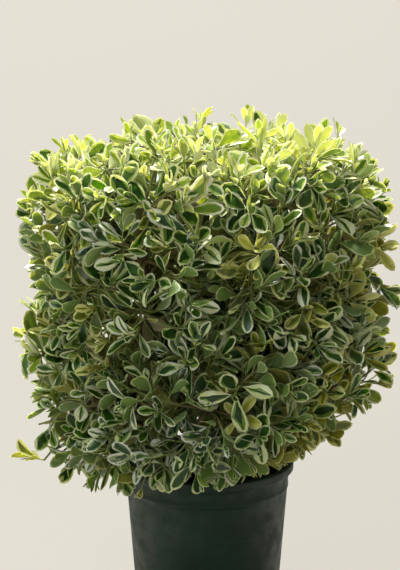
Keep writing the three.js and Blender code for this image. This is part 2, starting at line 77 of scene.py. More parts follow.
# The crown's outline, as in the source
CROWN_FOOT = 236
CROWN_TOP = 894
CROWN_RADIUS = 320
CROWN_MIDDLE = (CROWN_FOOT + CROWN_TOP) / 2
CROWN_HALF = (CROWN_TOP - CROWN_FOOT) / 2
HEAD_BOXINESS = 3.6
FOOT_BOXINESS = 4.6
FOOT_SLOPE = 0.26
FOOT_SLOPE_HEIGHT = 200
FOOT_RAISE = 0.24
FOOT_RAISED_TURN = -0.7
STRAGGLERS = ((3.1, 272, 0.3), (3.3, 505, 0.05), (-0.15, 545, 0.05), (0.1, 410, 0.07))
STRAGGLER_SPREAD = 46

# Where the masses of foliage sit, as in the source
LOWER_RING = (192, 394)
LOWER_RAISE = 160
UPPER_RING = (186, 646)
TOP_HEIGHT = 702
STEM_SHOWS = 22
LOWER_CORE = np.array([60.0, 93.0, 100.0])
UPPER_CORE = np.array([60.0, 93.0, 117.0])
TOP_CORE = np.array([71.0, 71.0, 124.0])
CORE_BOXINESS = 2.6
CORE_CORNERS = 42

# The main twigs, as in the source
MAIN_TWIGS = 130
TWIG_SEED = 4100
BRANCHING_SPREAD = 0.75
TIP_DEPTHS = (46, 74)
SOURCE_PAIRS = (3, 30, 58)
POT_MARGIN = 4

# How main twigs, finer shoots and leaves have to fit: the margin to the next mass's space, which
# is negative where they may cross into it, the margin to a limb, and the share of the foot's raise.
# The finer foliage takes a part of it, so that it hangs lower at the front right
FINE_RAISE = 0.72
TWIG_FIT = (4, 11, 1)
SHOOT_FIT = (-12, 8, FINE_RAISE)
LEAF_FIT = (-20, 7, FINE_RAISE)

# The finer shoots that carry the leaves: for the surface, the inside and the middle of the crown,
# how many are tried, how deep they end, and 1 for those inside
LEAST_DEPTH = 16
SHOOT_LAYERS = ((690, (LEAST_DEPTH, 34), 0), (420, (70, 130), 1), (230, (140, 230), 1))
SHOOT_SEED = 107

# The shoots stand in clumps, with deeper gaps between them at the top than at the sides
CLUMP_DEPTHS = (54, 76)
CLUMP_SIZE = 54
CLUMP_SHIFT = (3.1, 4.2, 0.5)
CLUMP_CONTRAST = 1.2

# Spots on the outline where the shoots end further in, or further out where the depth is negative:
# the middle of each, how wide and how tall it is, and the depth
HOLLOWS = (
    ((-318, 0, 590), 270, 55, 24),
    ((-318, 0, 385), 270, 75, 24),
    ((-332, -53, 508), 50, 42, -36),
    ((-400, 15, 272), 70, 50, 7),
    ((64, -192, 315), 90, 60, -60),
    ((231, -47, 335), 70, 70, 34),
    ((275, -80, 815), 130, 70, -45),
    ((0, 0, 900), 290, 60, 26),
    ((0, -260, 800), 220, 60, -45),
)

# How a shoot bends: its pull outwards, straight on and upwards, which grows between two heights
OUTWARD_PULL = 0.8
STRAIGHT_PULL = 0.35
UPWARD_PULL = 0.32
UPRIGHT_PULL = 0.8
UPRIGHT_FROM = 420
UPRIGHT_AT = 800
HEADING_SPREAD = 0.18
TIP_SPREAD = 4
LEAST_SHOOT = 18

# The radii of a main twig and a shoot from foot to tip, and the bud: how far ahead each of its
# rings is, and that ring's radius
MAIN_TWIG_RADII = (2.7, 1.8)
SHOOT_RADII = (1.5, 0.85)
BUD = ((2.2, 1.15), (5, 0.2))
STEM_STEPS = 13
STEM_END_RADIUS = 2.6

# For stems, main twigs and shoots: the number of sides, the stretch where the colour changes, and
# the colour before and after it
TWIG_COLOURS = {"green": "8ba04e", "olive": "7a7c46", "tan": "7f6c48", "brown": "56402c"}
TWIG_LOOKS = ((8, 9, "brown", "tan"), (6, 4, "tan", "olive"), (5, 3, "olive", "green"))
TWIG_ROUGHNESS = 0.6

# Pairs of leaves down a shoot: how far back from its tip, the angle they leave at, their size and
# the odds that each leaf is there. Inner shoots have the first few
PAIRS = (
    (1.5, 0.2, 0.4, 0.97),
    (4.5, 0.46, 0.74, 0.97),
    (11, 0.74, 0.95, 0.97),
    (21, 0.95, 1.0, 0.97),
    (35, 1.08, 1.0, 0.8),
    (53, 1.18, 0.94, 0.8),
    (74, 1.26, 0.86, 0.8),
)
INNER_PAIRS = 5
BARE_FOOT = 7
LEAF_LENGTH = 55
YOUNG_SIZE = 0.86

# How much leaves differ: a shoot's vigour, and each leaf's turn, angle, size, roll and facing
VIGOUR = (0.8, 1.14)
TURN_SPREAD = 0.28
ANGLE_SPREAD = 0.13
SIZE_SPREAD = 0.1
ROLL_SPREAD = 0.22
FACING_SPREAD = 0.2

# Leaves lie closer to upright shoots, and all turn a little to the light
UPRIGHT_CLOSING = 0.3
LEAST_ANGLE = 0.12
LEAF_LIFT = 0.1
FACE_LIFT = 0.4

# The sizes and tucked-in angles that are tried for a leaf, and the spots on it that have to fit
LEAF_TUCKS = ((1, 0), (0.92, 0.35), (0.8, 0.6), (0.68, 0.8))
LEAF_SPOTS = ((1, 0), (0.62, 0.24), (0.62, -0.24), (0.8, 0), (0.4, 0))

# A leaf's half width down its length, from its root to its tip
LEAF_ROWS = (0, 0.1, 0.24, 0.4, 0.58, 0.76, 0.92, 1)
LEAF_SHAPE = (0.045, 0.075, 0.36, 0.72, 0.97, 0.97, 0.58, 0)
LEAF_SEED = 5

# What makes one kind of leaf, as ranges and spreads for a leaf of length 1
LEAF_FORM = {"bend": (-0.35, 0.75), "fold": (0.1, 0.42), "cup": (-0.05, 0.1)}
LEAF_FULLNESS = (0.88, 1.25)
YOUNG_WIDTH = (0.16, 0.2)
GROWN_WIDTH = (0.19, 0.245)
LEAF_TWIST = 0.16
LEAF_SWAY = 0.035
LEAF_WAVE = (0.004, 0.016)
STALK_THICKNESS = 0.026
LEAF_THICKNESS = 0.011

# The rows of corners in the leaves outside and inside the crown, how many of them are bare stalk,
# and the strips above and below from the rib outwards, each with the number of its colour
LEAF_LAYOUTS = {
    "leaves": {
        "rows": LEAF_ROWS,
        "stalk": 2,
        "upper": (("rib", "between", 2), ("between", "edge", 1), ("edge", "rim", 0)),
        "under": (("under_rib", "under_edge", 3), ("under_edge", "rim", 4)),
    },
    "inner_leaves": {
        "rows": (0, 0.24, 0.58, 0.92, 1),
        "stalk": 1,
        "upper": (("rib", "edge", 2), ("edge", "rim", 0)),
        "under": (("under_rib", "rim", 3),),
    },
}

# Where a thin, a middling and a broad cream edge begins, as a share of the leaf's half width, the
# edge that each kind of young and grown leaf has, and how uneven it is
THIN, MIDDLING, BROAD = (0.74, 0.88), (0.58, 0.74), (0.3, 0.5)
YOUNG_EDGES = (THIN,) * 3 + (MIDDLING,) * 4 + (BROAD,)
GROWN_EDGES = (THIN,) * 5 + (MIDDLING,) * 7 + (BROAD,) * 4
EDGE_SPREAD = 0.1
EDGE_SWING = 0.16
EDGE_JAG = 0.17
EDGE_STEP = (0.06, 0.4)

# The colours of each kind of spray, for these parts of a leaf. The young and fresh kinds, dealt out by
# height, are pale partly for their age and partly as painted sunlight on the crown's top
LEAF_PARTS = ("edge", "between", "middle", "under", "under_edge")
SPRAYS = {
    "young_sunlit_1": ("fffee2", "dce584", "8fb02c", "e2e8a6", "faface"),
    "young_sunlit_2": ("fefdca", "d5e068", "9cba34", "e1e894", "f8f9bc"),
    "fresh_sunlit_1": ("f1f4c2", "b0bf5e", "4a7820", "9cb262", "d6de9c"),
    "fresh_sunlit_2": ("eaeeac", "9ab052", "3c681a", "92a856", "ccd48e"),
    "fresh_sunlit_3": ("f5f4d0", "bbbf6c", "68862a", "acb66e", "dadca2"),
    "grown_1": ("eef2c2", "7e984c", "204411", "708c46", "bac88a"),
    "grown_2": ("e6ecac", "70903e", "183a0e", "688242", "b0be7e"),
    "grown_3": ("f2f4d4", "8a9e6a", "2c4e2e", "809460", "c2ca9a"),
    "olive": ("e2de90", "9aa048", "566422", "86883e", "b2ae60"),
    "cream": ("f4eea0", "e2dc72", "bcc250", "d0d27a", "e8e49c"),
    "old": ("b0a262", "8e864a", "5c5c34", "857c54", "948b5e"),
}
LEAF_ROUGHNESS = 0.36
UNDER_ROUGHNESS = 0.6
LEAF_GLOW = 0.6
GLOW_RADIUS = (1, 1, 0.35)
GLOW_DEPTH = 0.003

# How young and pale a leaf is: more so with height, partly for its age and partly as painted sunlight
# on the crown's top, less inside the crown as painted shade, and less down its shoot. The young kinds
# start at one value, the fresh ones at another, and below it leaves are grown
SUN_HEIGHTS = (610, 770, 820)
SUN_SHARES = (-0.35, 0.7, 1.4)
SUN_SPREAD = 0.24
# Inner shoots take darker, grown colours, as painted shade
SHADE_INSIDE = 0.8
AGEING = 0.21
YOUNG_SUNLIT_FROM = 0.75
FRESH_SUNLIT_FROM = 0.2
TINT_SEED = 12

# The odds of the grown kinds and olive, at the surface and inside, the share of cream shoots, and
# the shares that aren't old, at the surface and inside
GROWN_ODDS = ((0.28, 0.3, 0.22, 0.2), (0.22, 0.22, 0.12, 0.44))
CREAM_SHARE = 0.03
NOT_OLD = (0.994, 0.84)

# A shoot that stands out of the crown's left side, whose pale young colours are painted sunlight
PALE_SHOOT = (-310, -50, 512)
PALE_REACH = 60
PALE_SUN = 1.1
PALE_SIZE = 1.15

# The bark: sides of the trunk and limbs, the steps between rings, its relief and a knot's length
TRUNK_SIDES = 48
LIMB_SIDES = 20
BARK_STEP = 2.5
TRUNK_RELIEF = 1.5
LIMB_RELIEF = 0.45
KNOT_LENGTH = 3.2
TRUNK_DOME = ((2.5, 0.86), (4.2, 0.6), (5, 0.25))

# The mix's crumbled top: the size, seed and height of its lumps, and the chips and grains on it
SOIL_LUMPS = ((19, 0.3, 3.4), (7, 4.1, 2.2), (3, 9.7, 0.9))
CHIPS = 280
GRAINS = 60
CHIP_COLOURS = {"dark": "2e2119", "brown": "4a3324", "grey": "5e5042", "perlite": "bdb9a8"}
CHIP_ODDS = (0.5, 0.35, 0.15)
CHIP_SIZES = ((3, 1.6, 0.7), (8, 4, 1.6))
GRAIN_SIZES = ((1, 0.9, 0.9), (2, 1.7, 1.5))
CHIP_SEED = 19

# The colour of the light from the front and all round
FILL_COLOUR = (0.91, 1, 0.92)


def seeded(seed):
    """A repeatable stream of numbers from 0 to 1, the same as the source's."""
    state = seed
    while True:
        state = (state + 0x6D2B79F5) & 0xFFFFFFFF
        mixed = ((state ^ (state >> 15)) * (state | 1)) & 0xFFFFFFFF
        mixed ^= (mixed + (mixed ^ (mixed >> 7)) * (mixed | 61)) & 0xFFFFFFFF
        yield (mixed ^ (mixed >> 14)) / 4294967296


def unit(vectors):
    return vectors / np.maximum(np.linalg.norm(vectors, axis=-1, keepdims=True), 1e-9)


def dot(a, b):
    return (a * b).sum(-1, keepdims=True)


def around(turn, radius, height):
    """Points at an angle round the axis, a distance from it and a height."""
    parts = np.broadcast_arrays(np.cos(turn) * radius, np.sin(turn) * radius, height)
    return np.stack(parts, axis=-1).astype(float)


def boxiness(height):
    return np.where(height > CROWN_MIDDLE, HEAD_BOXINESS, FOOT_BOXINESS)


def raised(turn, raise_part=1):
    """How far all or part of the foot's raise lifts it, as a share of the crown's lower half."""
    return raise_part * FOOT_RAISE * (0.5 + 0.5 * np.cos(turn - FOOT_RAISED_TURN)) ** 2


def plain_rise(turn, height, raise_part=1):
    """How far above the crown's middle a height would be if its foot weren't raised."""
    rise = height - CROWN_MIDDLE
    return np.where(rise < 0, rise / (1 - raised(turn, raise_part)), rise)


def lobe(turn, height):
    """How far lobes, stragglers and the sloping foot push the crown's side out or in."""
    share = 1 + 0.022 * np.sin(2 * turn + 0.5) + 0.018 * np.sin(5 * turn + height / 85)
    share = share + 0.02 * np.sin(3 * turn - 1.1 + height / 150)
    low = np.clip((CROWN_FOOT + FOOT_SLOPE_HEIGHT - height) / FOOT_SLOPE_HEIGHT, 0, 1)
    share = share - FOOT_SLOPE * low * np.maximum(0, np.cos(turn))
    for at, level, out in STRAGGLERS:
        aside = 2 * np.sin((turn - at) / 2) * CROWN_RADIUS
        share = share + out * np.exp(-(aside**2 + (height - level) ** 2) / STRAGGLER_SPREAD**2)
    return share


def crown_radius(turn, height):
    power = boxiness(height)
    share = np.minimum(np.abs(plain_rise(turn, height)) / CROWN_HALF, 1)
    return CROWN_RADIUS * (1 - share**power) ** (1 / power)


def crown_share(points, raise_part=1):
    """Under 1 inside the crown's outline, and over 1 outside it."""
    x, y, z = points[:, 0], points[:, 1], points[:, 2]
    turn = np.arctan2(y, x)
    radius = np.hypot(x, y) / lobe(turn, z)
    power = boxiness(z)
    rise = np.abs(plain_rise(turn, z, raise_part))
    return (radius / CROWN_RADIUS) ** power + (rise / CROWN_HALF) ** power


def crown_points(count, raise_part=1):
    """Points spread evenly over the crown's outline, with the outward direction at each."""
    angle = np.linspace(0, math.pi, 241)
    rise = np.cos(angle)
    power = boxiness(CROWN_MIDDLE + rise)
    radius = CROWN_RADIUS * np.sin(angle) ** (2 / power)
    height = CROWN_MIDDLE + CROWN_HALF * np.sign(rise) * np.abs(rise) ** (2 / power)
    strips = np.hypot(np.diff(radius), np.diff(height)) * (radius[1:] + radius[:-1])
    area = np.concatenate([[0], np.cumsum(strips)])
    number = np.arange(count)
    wanted = area[-1] * (number + 0.5) / count
    after = np.searchsorted(area, wanted)
    turn = number * GOLDEN
    level = np.interp(wanted, area, height)
    level = level + np.maximum(CROWN_MIDDLE - level, 0) * raised(turn, raise_part)
    out = np.interp(wanted, area, radius) * lobe(turn, level)
    slope = np.arctan2(height[after - 1] - height[after], radius[after] - radius[after - 1])
    keep = (out >= POT_LIP_RADIUS + 16) | (level >= POT_HEIGHT)
    points = around(turn, out, level)[keep]
    outward = around(turn, np.sin(slope), np.cos(slope))[keep]
    turn = np.array([at for at, _, _ in STRAGGLERS])
    level = np.array([level for _, level, _ in STRAGGLERS], float)
    points = np.vstack([points, around(turn, crown_radius(turn, level) * lobe(turn, level), level)])
    return points, np.vstack([outward, around(turn, 1, 0)])


def run_along(line):
    """The distance of each of a line's points from its first, along the line."""
    return np.concatenate([[0], np.cumsum(np.linalg.norm(np.diff(line, axis=0), axis=1))])


def smooth_line(chosen, count):
    """Evenly spaced points along a centripetal Catmull-Rom curve through a few chosen ones."""
    chosen = [np.asarray(point, float) for point in chosen]
    through = [2 * chosen[0] - chosen[1], *chosen, 2 * chosen[-1] - chosen[-2]]
    fine = []
    for p0, p1, p2, p3 in zip(through, through[1:], through[2:], through[3:]):
        d0, d1, d2 = (math.sqrt(np.linalg.norm(b - a)) for a, b in ((p0, p1), (p1, p2), (p2, p3)))
        start = ((p1 - p0) / d0 - (p2 - p0) / (d0 + d1) + (p2 - p1) / d1) * d1
        end = ((p2 - p1) / d1 - (p3 - p1) / (d1 + d2) + (p3 - p2) / d2) * d1
        for t in np.linspace(0, 1, 80, endpoint=False):
            bend = (3 * (p2 - p1) - 2 * start - end) * t**2 + (2 * (p1 - p2) + start + end) * t**3
            fine.append(p1 + start * t + bend)
    fine = np.array([*fine, chosen[-1]])
    run = run_along(fine)
    at = np.linspace(0, run[-1], count + 1)
    return np.stack([np.interp(at, run, fine[:, k]) for k in range(3)], axis=-1)


def trunk_line():
    return np.array([np.array([0, 0, TRUNK_FOOT]) + np.array(TRUNK_LEAN) * s for s in TRUNK_SHARES])


def in_frame(steps, plan):
    """Steps away from a mass's middle, measured outwards from the axis, sideways and upwards."""
    cos, sin = math.cos(plan["turn"]), math.sin(plan["turn"])
    x, y, z = steps[..., 0], steps[..., 1], steps[..., 2]
    return np.stack([x * cos + y * sin, y * cos - x * sin, z], axis=-1)


def block_length(steps):
    """The length of steps for a rounded block: 1 on the surface of one of half size 1."""
    return (np.abs(steps) ** CORE_BOXINESS).sum(-1) ** (1 / CORE_BOXINESS)


def core_share(points, plan):
    """How far out points are from a mass's middle, as a share of the source's core that way."""
    steps = in_frame(points - plan["middle"], plan)
    if plan["name"] != "top":
        widening = 1 + steps[:, 0] / np.hypot(*plan["middle"][:2])
        steps[:, 1] /= np.maximum(widening, 0.1)
    return block_length(steps / plan["core"])


def tip_below(plan, start):
    """The tip of a limb that comes to a mass from a given point."""
    back = unit(start - plan["middle"])
    reach = 1 / block_length(in_frame(back, plan) / plan["core"])
    return plan["middle"] + back * (reach + STEM_SHOWS)


def mass_plans():
    """Where each mass sits and the limb that leads to it, as in the source."""
    fork = trunk_line()[-1]
    stride = math.tau / BOUGHS
    plans = []
    for k in range(BOUGHS):
        turn = FIRST_BOUGH_TURN + k * stride
        swing = 0.07 * math.sin(k * 2.3 + 0.4)
        radius, height = UPPER_RING
        middle = around(turn + swing, radius, height + 10 * math.cos(k * 1.9))
        plan = {"name": f"upper_{k + 1}", "limb": f"bough_{k + 1}", "radii": BOUGH_RADII}
        plan |= {"middle": middle, "turn": turn + swing, "core": UPPER_CORE}
        plan["chosen"] = [
            around(turn, 8, fork[2] - 22),
            around(turn, 22, fork[2] + 4),
            around(turn + swing * 0.3, 47 + 4 * math.sin(k), 368),
            around(turn + swing * 0.6, 88, 440),
            tip_below(plan, around(turn + swing * 0.8, 126, 500)),
        ]
        plan["line"] = smooth_line(plan["chosen"], 6)
        plans.append(plan)
    for k in range(BOUGHS):
        turn = FIRST_BOUGH_TURN + (k + 0.5) * stride
        radius, height = LOWER_RING
        height = height + LOWER_RAISE * raised(turn) + 9 * math.sin(k * 2.6 + 1)
        plan = {"name": f"lower_{k + 1}", "limb": f"side_bough_{k + 1}", "radii": SIDE_BOUGH_RADII}
        plan |= {"middle": around(turn, radius, height), "turn": turn, "core": LOWER_CORE}
        leave = plans[k]["line"][3]
        tip = tip_below(plan, around(turn - 0.2, 60, leave[2] + 10))
        plan["chosen"] = [leave, (leave + tip) / 2 + UP * 5, tip]
        plan["line"] = smooth_line(plan["chosen"], 4)
        plans.append(plan)
    top = {"name": "top", "limb": "leader", "radii": LEADER_RADII}
    top |= {"middle": np.array([4.0, 6.0, TOP_HEIGHT]), "turn": 0, "core": TOP_CORE}
    tip = tip_below(top, np.array([4.0, 2.0, 500.0]))
    top["chosen"] = [fork - UP * 12, (-4, 5, 400), (5, -3, 480), tip]
    top["line"] = smooth_line(top["chosen"], 6)
    return [*plans, top]


def stem_line(plan):
    """The stem inside a mass: on from the limb's tip, through the middle and a little beyond."""
    tip = plan["line"][-1]
    way = unit(tip - plan["line"][-2])
    foot = tip + way * 0.3
    middle = plan["middle"]
    return np.array([foot, foot + way * 9, middle, middle + (tip - middle) * -0.4])


def best_feet(starts, ends, tips):
    """Where a twig to each tip leaves the nearest of some stretches, and that stretch's direction."""
    length = np.linalg.norm(ends - starts, axis=1)
    way = unit(ends - starts)
    step = tips[:, None] - starts[None]
    reach = (step * way[None]).sum(-1)
    off = np.sqrt(np.maximum(0, (step**2).sum(-1) - reach**2))
    at = np.clip(reach - off * BRANCHING_SPREAD, 0, length[None])
    feet = starts[None] + way[None] * at[..., None]
    cost = np.linalg.norm(feet - tips[:, None], axis=-1) - 0.25 * at
    best = cost.argmin(axis=1)
    return feet[np.arange(len(tips)), best], way[best]


def twig_line(parent, tip, steps):
    """A twig leaves its stem at a branching angle and bends towards its own tip."""
    (foot,), (way,) = best_feet(parent[:-1], parent[1:], tip[None])
    run = np.linalg.norm(foot - tip)
    half = (foot + tip) / 2
    bend = foot + way * run * 0.3
    bend = bend + (half - bend) * 0.45 - UP * run * 0.06
    t = np.linspace(0, 1, steps + 1)[:, None]
    return foot * (1 - t) ** 2 + bend * 2 * t * (1 - t) + tip * t**2


def distance_to(points, line):
    """The distance from each point to the line through a limb's points."""
    least = np.full(len(points), np.inf)
    for a, b in zip(line, line[1:]):
        t = np.clip(((points - a) @ (b - a)) / ((b - a) @ (b - a)), 0, 1)
        least = np.minimum(least, np.linalg.norm(points - a - t[:, None] * (b - a), axis=1))
    return least


def fits(points, plan, plans, fit):
    """True for each point in the mass's own space by a margin, and clear of the pot and limbs."""
    margin, limb_margin, raise_part = fit
    clear = crown_share(points, raise_part) <= 1
    from_axis = np.hypot(points[:, 0], points[:, 1])
    low = points[:, 2] < POT_HEIGHT + POT_MARGIN
    clear &= ~(low & (from_axis < POT_LIP_RADIUS + POT_MARGIN))
    own = ((points - plan["middle"]) ** 2).sum(1)
    for other in plans:
        clear &= distance_to(points, other["line"]) >= limb_margin
        if other is not plan:
            apart = np.linalg.norm(plan["middle"] - other["middle"])
            clear &= ((points - other["middle"]) ** 2).sum(1) - own > 2 * margin * apart
    return clear


def main_twigs(plan, number, plans, points, outward):
    """The twigs that the source grows in a mass, by the same draws."""
    random = seeded(TWIG_SEED + number)
    for _ in range(CORE_CORNERS):
        next(random)
    stem = stem_line(plan)
    lines = []
    for point, out in zip(points, outward):
        depth = TIP_DEPTHS[0] + (TIP_DEPTHS[1] - TIP_DEPTHS[0]) * next(random)
        tip = point - out * depth
        coarse = twig_line(stem, tip, 2)
        outside = core_share(coarse, plan) > 1
        if not (fits(coarse, plan, plans, TWIG_FIT) | ~outside).all():
            continue
        length = np.linalg.norm(np.diff(coarse, axis=0), axis=1).sum()
        for _ in range(1 + 6 * sum(back <= length for back in SOURCE_PAIRS)):
            next(random)
        lines.append(twig_line(stem, tip, 6))
    return stem, np.array(lines)


def shared_out(points, outward, plans):
    """The number of the mass that each point belongs to, by the nearest middle."""
    inner = points - outward * TIP_DEPTHS[0]
    middles = np.array([plan["middle"] for plan in plans])
    return np.linalg.norm(inner[:, None] - middles[None], axis=-1).argmin(axis=1)


def shared_points(count, raise_part, plans):
    """Points over the crown's outline, their outward directions and each one's mass."""
    points, outward = crown_points(count, raise_part)
    return points, outward, shared_out(points, outward, plans)


def shoot_lines(feet, ways, tips, headings):
    """Fine shoots: they leave a twig along it and turn up towards their own heading."""
    run = np.linalg.norm(tips - feet, axis=1, keepdims=True)
    second = feet + ways * run * 0.32
    third = tips - headings * run * 0.42
    t = np.linspace(0, 1, 8)[None, :, None]
    start = feet[:, None] * (1 - t) ** 3 + second[:, None] * 3 * t * (1 - t) ** 2
    return start + third[:, None] * 3 * t**2 * (1 - t) + tips[:, None] * t**3


def shoot_depths(points, outward, depths, rng):
    """How far under the crown's outline each shoot ends: deeper between the clumps."""
    clump = np.array([noise.noise(Vector(point / CLUMP_SIZE + CLUMP_SHIFT)) for point in points])
    between = np.clip(0.5 + CLUMP_CONTRAST * clump, 0, 1)
    depth = rng.uniform(*depths, len(points)) + np.interp(outward[:, 2], (0, 1), CLUMP_DEPTHS) * between
    for middle, wide, tall, deep in HOLLOWS:
        away = (points - middle) / (wide, wide, tall)
        depth += deep * np.exp(-(away**2).sum(axis=1))
    return np.maximum(depth, LEAST_DEPTH)


def climb_share(heights):
    """0 for shoots low in the crown, rising to 1 for those near its top, which stand upright."""
    return np.clip((heights - UPRIGHT_FROM) / (UPRIGHT_AT - UPRIGHT_FROM), 0, 1)


def finer_shoots(plan, plans, stem, twigs, points, outward, depths, rng):
    """Shoots from a mass's twigs to points under the crown's outline."""
    depth = shoot_depths(points, outward, depths, rng)
    tips = points - outward * depth[:, None] + rng.normal(0, TIP_SPREAD, points.shape)
    starts = np.vstack([stem[1:-1], *(line[:-1] for line in twigs)])
    ends = np.vstack([stem[2:], *(line[1:] for line in twigs)])
    feet, ways = best_feet(starts, ends, tips)
    climb = climb_share(tips[:, 2:])
    lift = UPWARD_PULL + UPRIGHT_PULL * climb**2 * (3 - 2 * climb)
    headings = outward * OUTWARD_PULL + UP * lift + unit(tips - feet) * STRAIGHT_PULL
    headings = unit(headings + rng.normal(0, HEADING_SPREAD, tips.shape))
    lines = shoot_lines(feet, ways, tips, headings)
    count, steps, _ = lines.shape
    clear = fits(lines.reshape(-1, 3), plan, plans, SHOOT_FIT)
    long = np.linalg.norm(tips - feet, axis=1) > LEAST_SHOOT
    return lines[clear.reshape(count, steps)[:, 2:].all(axis=1) & long]


def along_line(lines, back):
    """The point a given way back from each line's tip, the direction there and the full length."""
    steps = np.linalg.norm(np.diff(lines, axis=1), axis=2)
    left = steps[:, ::-1].cumsum(axis=1)[:, ::-1]
    left = np.hstack([left, np.zeros((len(lines), 1))])
    step = np.clip((left > back).sum(axis=1) - 1, 0, lines.shape[1] - 2)
    row = np.arange(len(lines))
    a, b = lines[row, step], lines[row, step + 1]
    share = (left[row, step] - back) / steps[row, step]
    return a + (b - a) * share[:, None], unit(b - a), left[:, 0]


def shoot_leaves(lines, inner, rng):
    """Leaves in pairs down each shoot, each pair a quarter turn from the last."""
    count = len(lines)
    first = rng.uniform(0, math.pi, count)
    vigour = rng.uniform(*VIGOUR, count)
    opening = 1 - UPRIGHT_CLOSING * climb_share(lines[:, -1, 2]) ** 2
    found = []
    for n, (back, angle, size, odds) in enumerate(PAIRS):
        root, axis, length = along_line(lines, back)
        level = unit(np.cross(UP, axis) + np.array([1e-4, 0, 0]))
        other = np.cross(axis, level)
        for side in range(2):
            turn = first + n * math.pi / 2 + side * math.pi
            turn = turn + rng.uniform(-TURN_SPREAD, TURN_SPREAD, count)
            away = level * np.cos(turn)[:, None] + other * np.sin(turn)[:, None]
            leaf = {"root": root + away * SHOOT_RADII[1] * 0.6, "axis": axis, "away": away}
            leaf["angle"] = angle * opening + rng.normal(0, ANGLE_SPREAD, count)
            leaf["size"] = LEAF_LENGTH * size * vigour * rng.normal(1, SIZE_SPREAD, count)
            leaf["roll"] = rng.normal(0, ROLL_SPREAD, count)
            leaf["facing"] = rng.normal(0, FACING_SPREAD, (count, 3))
            leaf["draw"] = rng.random(count)
            leaf["shoot"] = np.arange(count)
            leaf["pair"] = np.full(count, n)
            keep = (back < length - BARE_FOOT) & (rng.random(count) < odds)
            keep &= (inner == 0) | (n < INNER_PAIRS)
            found.append({key: value[keep] for key, value in leaf.items()})
    return {key: np.concatenate([leaf[key] for leaf in found]) for key in found[0]}


def leaf_frames(leaves, share, tuck):
    """Directions along, across and out of each leaf's face, and its size, when it is tucked in."""
    angle = np.maximum(leaves["angle"] - tuck, LEAST_ANGLE)[:, None]
    along = leaves["axis"] * np.cos(angle) + leaves["away"] * np.sin(angle)
    along = unit(along + UP * LEAF_LIFT)
    face = leaves["axis"] + UP * FACE_LIFT + leaves["facing"]
    upper = unit(face - along * dot(face, along))
    across = np.cross(upper, along)
    cos, sin = np.cos(leaves["roll"])[:, None], np.sin(leaves["roll"])[:, None]
    rolled = upper * cos + across * sin
    return along, across * cos - upper * sin, rolled, leaves["size"] * share


def place_leaves(leaves, plan, plans):
    """Tucks in each leaf that would leave the crown or touch a limb, and drops it if that fails."""
    count = len(leaves["size"])
    frames = [np.zeros((count, 3)) for _ in range(3)] + [np.zeros(count)]
    placed = np.zeros(count, bool)
    for share, tuck in LEAF_TUCKS:
        found = leaf_frames(leaves, share, tuck)
        along, across, _, size = found
        clear = np.ones(count, bool)
        for ahead, aside in LEAF_SPOTS:
            spot = leaves["root"] + (along * ahead + across * aside) * size[:, None]
            clear &= fits(spot, plan, plans, LEAF_FIT)
        chosen = clear & ~placed
        for kept, new in zip(frames, found):
            kept[chosen] = new[chosen]
        placed |= clear
    leaves = leaves | dict(zip(("along", "across", "upper", "size"), frames))
    return {key: value[placed] for key, value in leaves.items()}


def leaf_corner_names(layout):
    """Each corner's strip border, row and, off the rib, side. The last corner is the leaf's tip."""
    names = []
    last = len(layout["rows"]) - 1
    for row in range(last):
        borders = ["rib", "under_rib", "rim"]
        if row >= layout["stalk"]:
            borders += [inner for inner, _, _ in (*layout["upper"][1:], *layout["under"][1:])]
        for border in borders:
            names += [(border, row, side) for side in ((0,) if "rib" in border else (0, 1))]
    return [*names, ("rib", last, 0)]


def leaf_form(rng, young, edge):
    """What makes one kind of leaf: its fold, bend and waves, and the course of its cream edge."""
    form = {name: rng.uniform(*limits) for name, limits in LEAF_FORM.items()}
    half = np.array(LEAF_SHAPE) ** rng.uniform(*LEAF_FULLNESS)
    form["half"] = half * rng.uniform(*(YOUNG_WIDTH if young else GROWN_WIDTH))
    form["twist"] = rng.normal(0, LEAF_TWIST)
    form["sway"] = rng.normal(0, LEAF_SWAY)
    form["wave"] = rng.uniform(*LEAF_WAVE)
    form["phase"] = rng.uniform(0, math.tau, 2)
    form["edges"] = rng.uniform(*edge) + rng.normal(0, EDGE_SPREAD, 2)
    form["swing"] = rng.uniform(0, EDGE_SWING, 2)
    form["turns"] = rng.uniform(0, math.tau, 2)
    form["step"] = rng.uniform(*EDGE_STEP)
    return form


def border_share(rng, form, border, side, along):
    """How far out a strip's border is, as a share of the leaf's half width."""
    if border == "rim":
        return 1
    if border == "under_edge":
        return np.clip(0.78 + rng.normal(0, 0.07), 0.6, 0.9)
    if border not in ("edge", "between"):
        return 0
    tipwards = 0.28 * max(along - 0.7, 0) / 0.22
    jag = form["swing"][side] * math.sin(form["turns"][side] + 11 * along)
    jag = jag + rng.normal(0, EDGE_JAG)
    share = np.clip(form["edges"][side] + jag - tipwards, 0.18, 0.92)
    if border == "between":
        share = np.clip(share - form["step"] + rng.normal(0, 0.1), 0.08, share - 0.05)
    return share


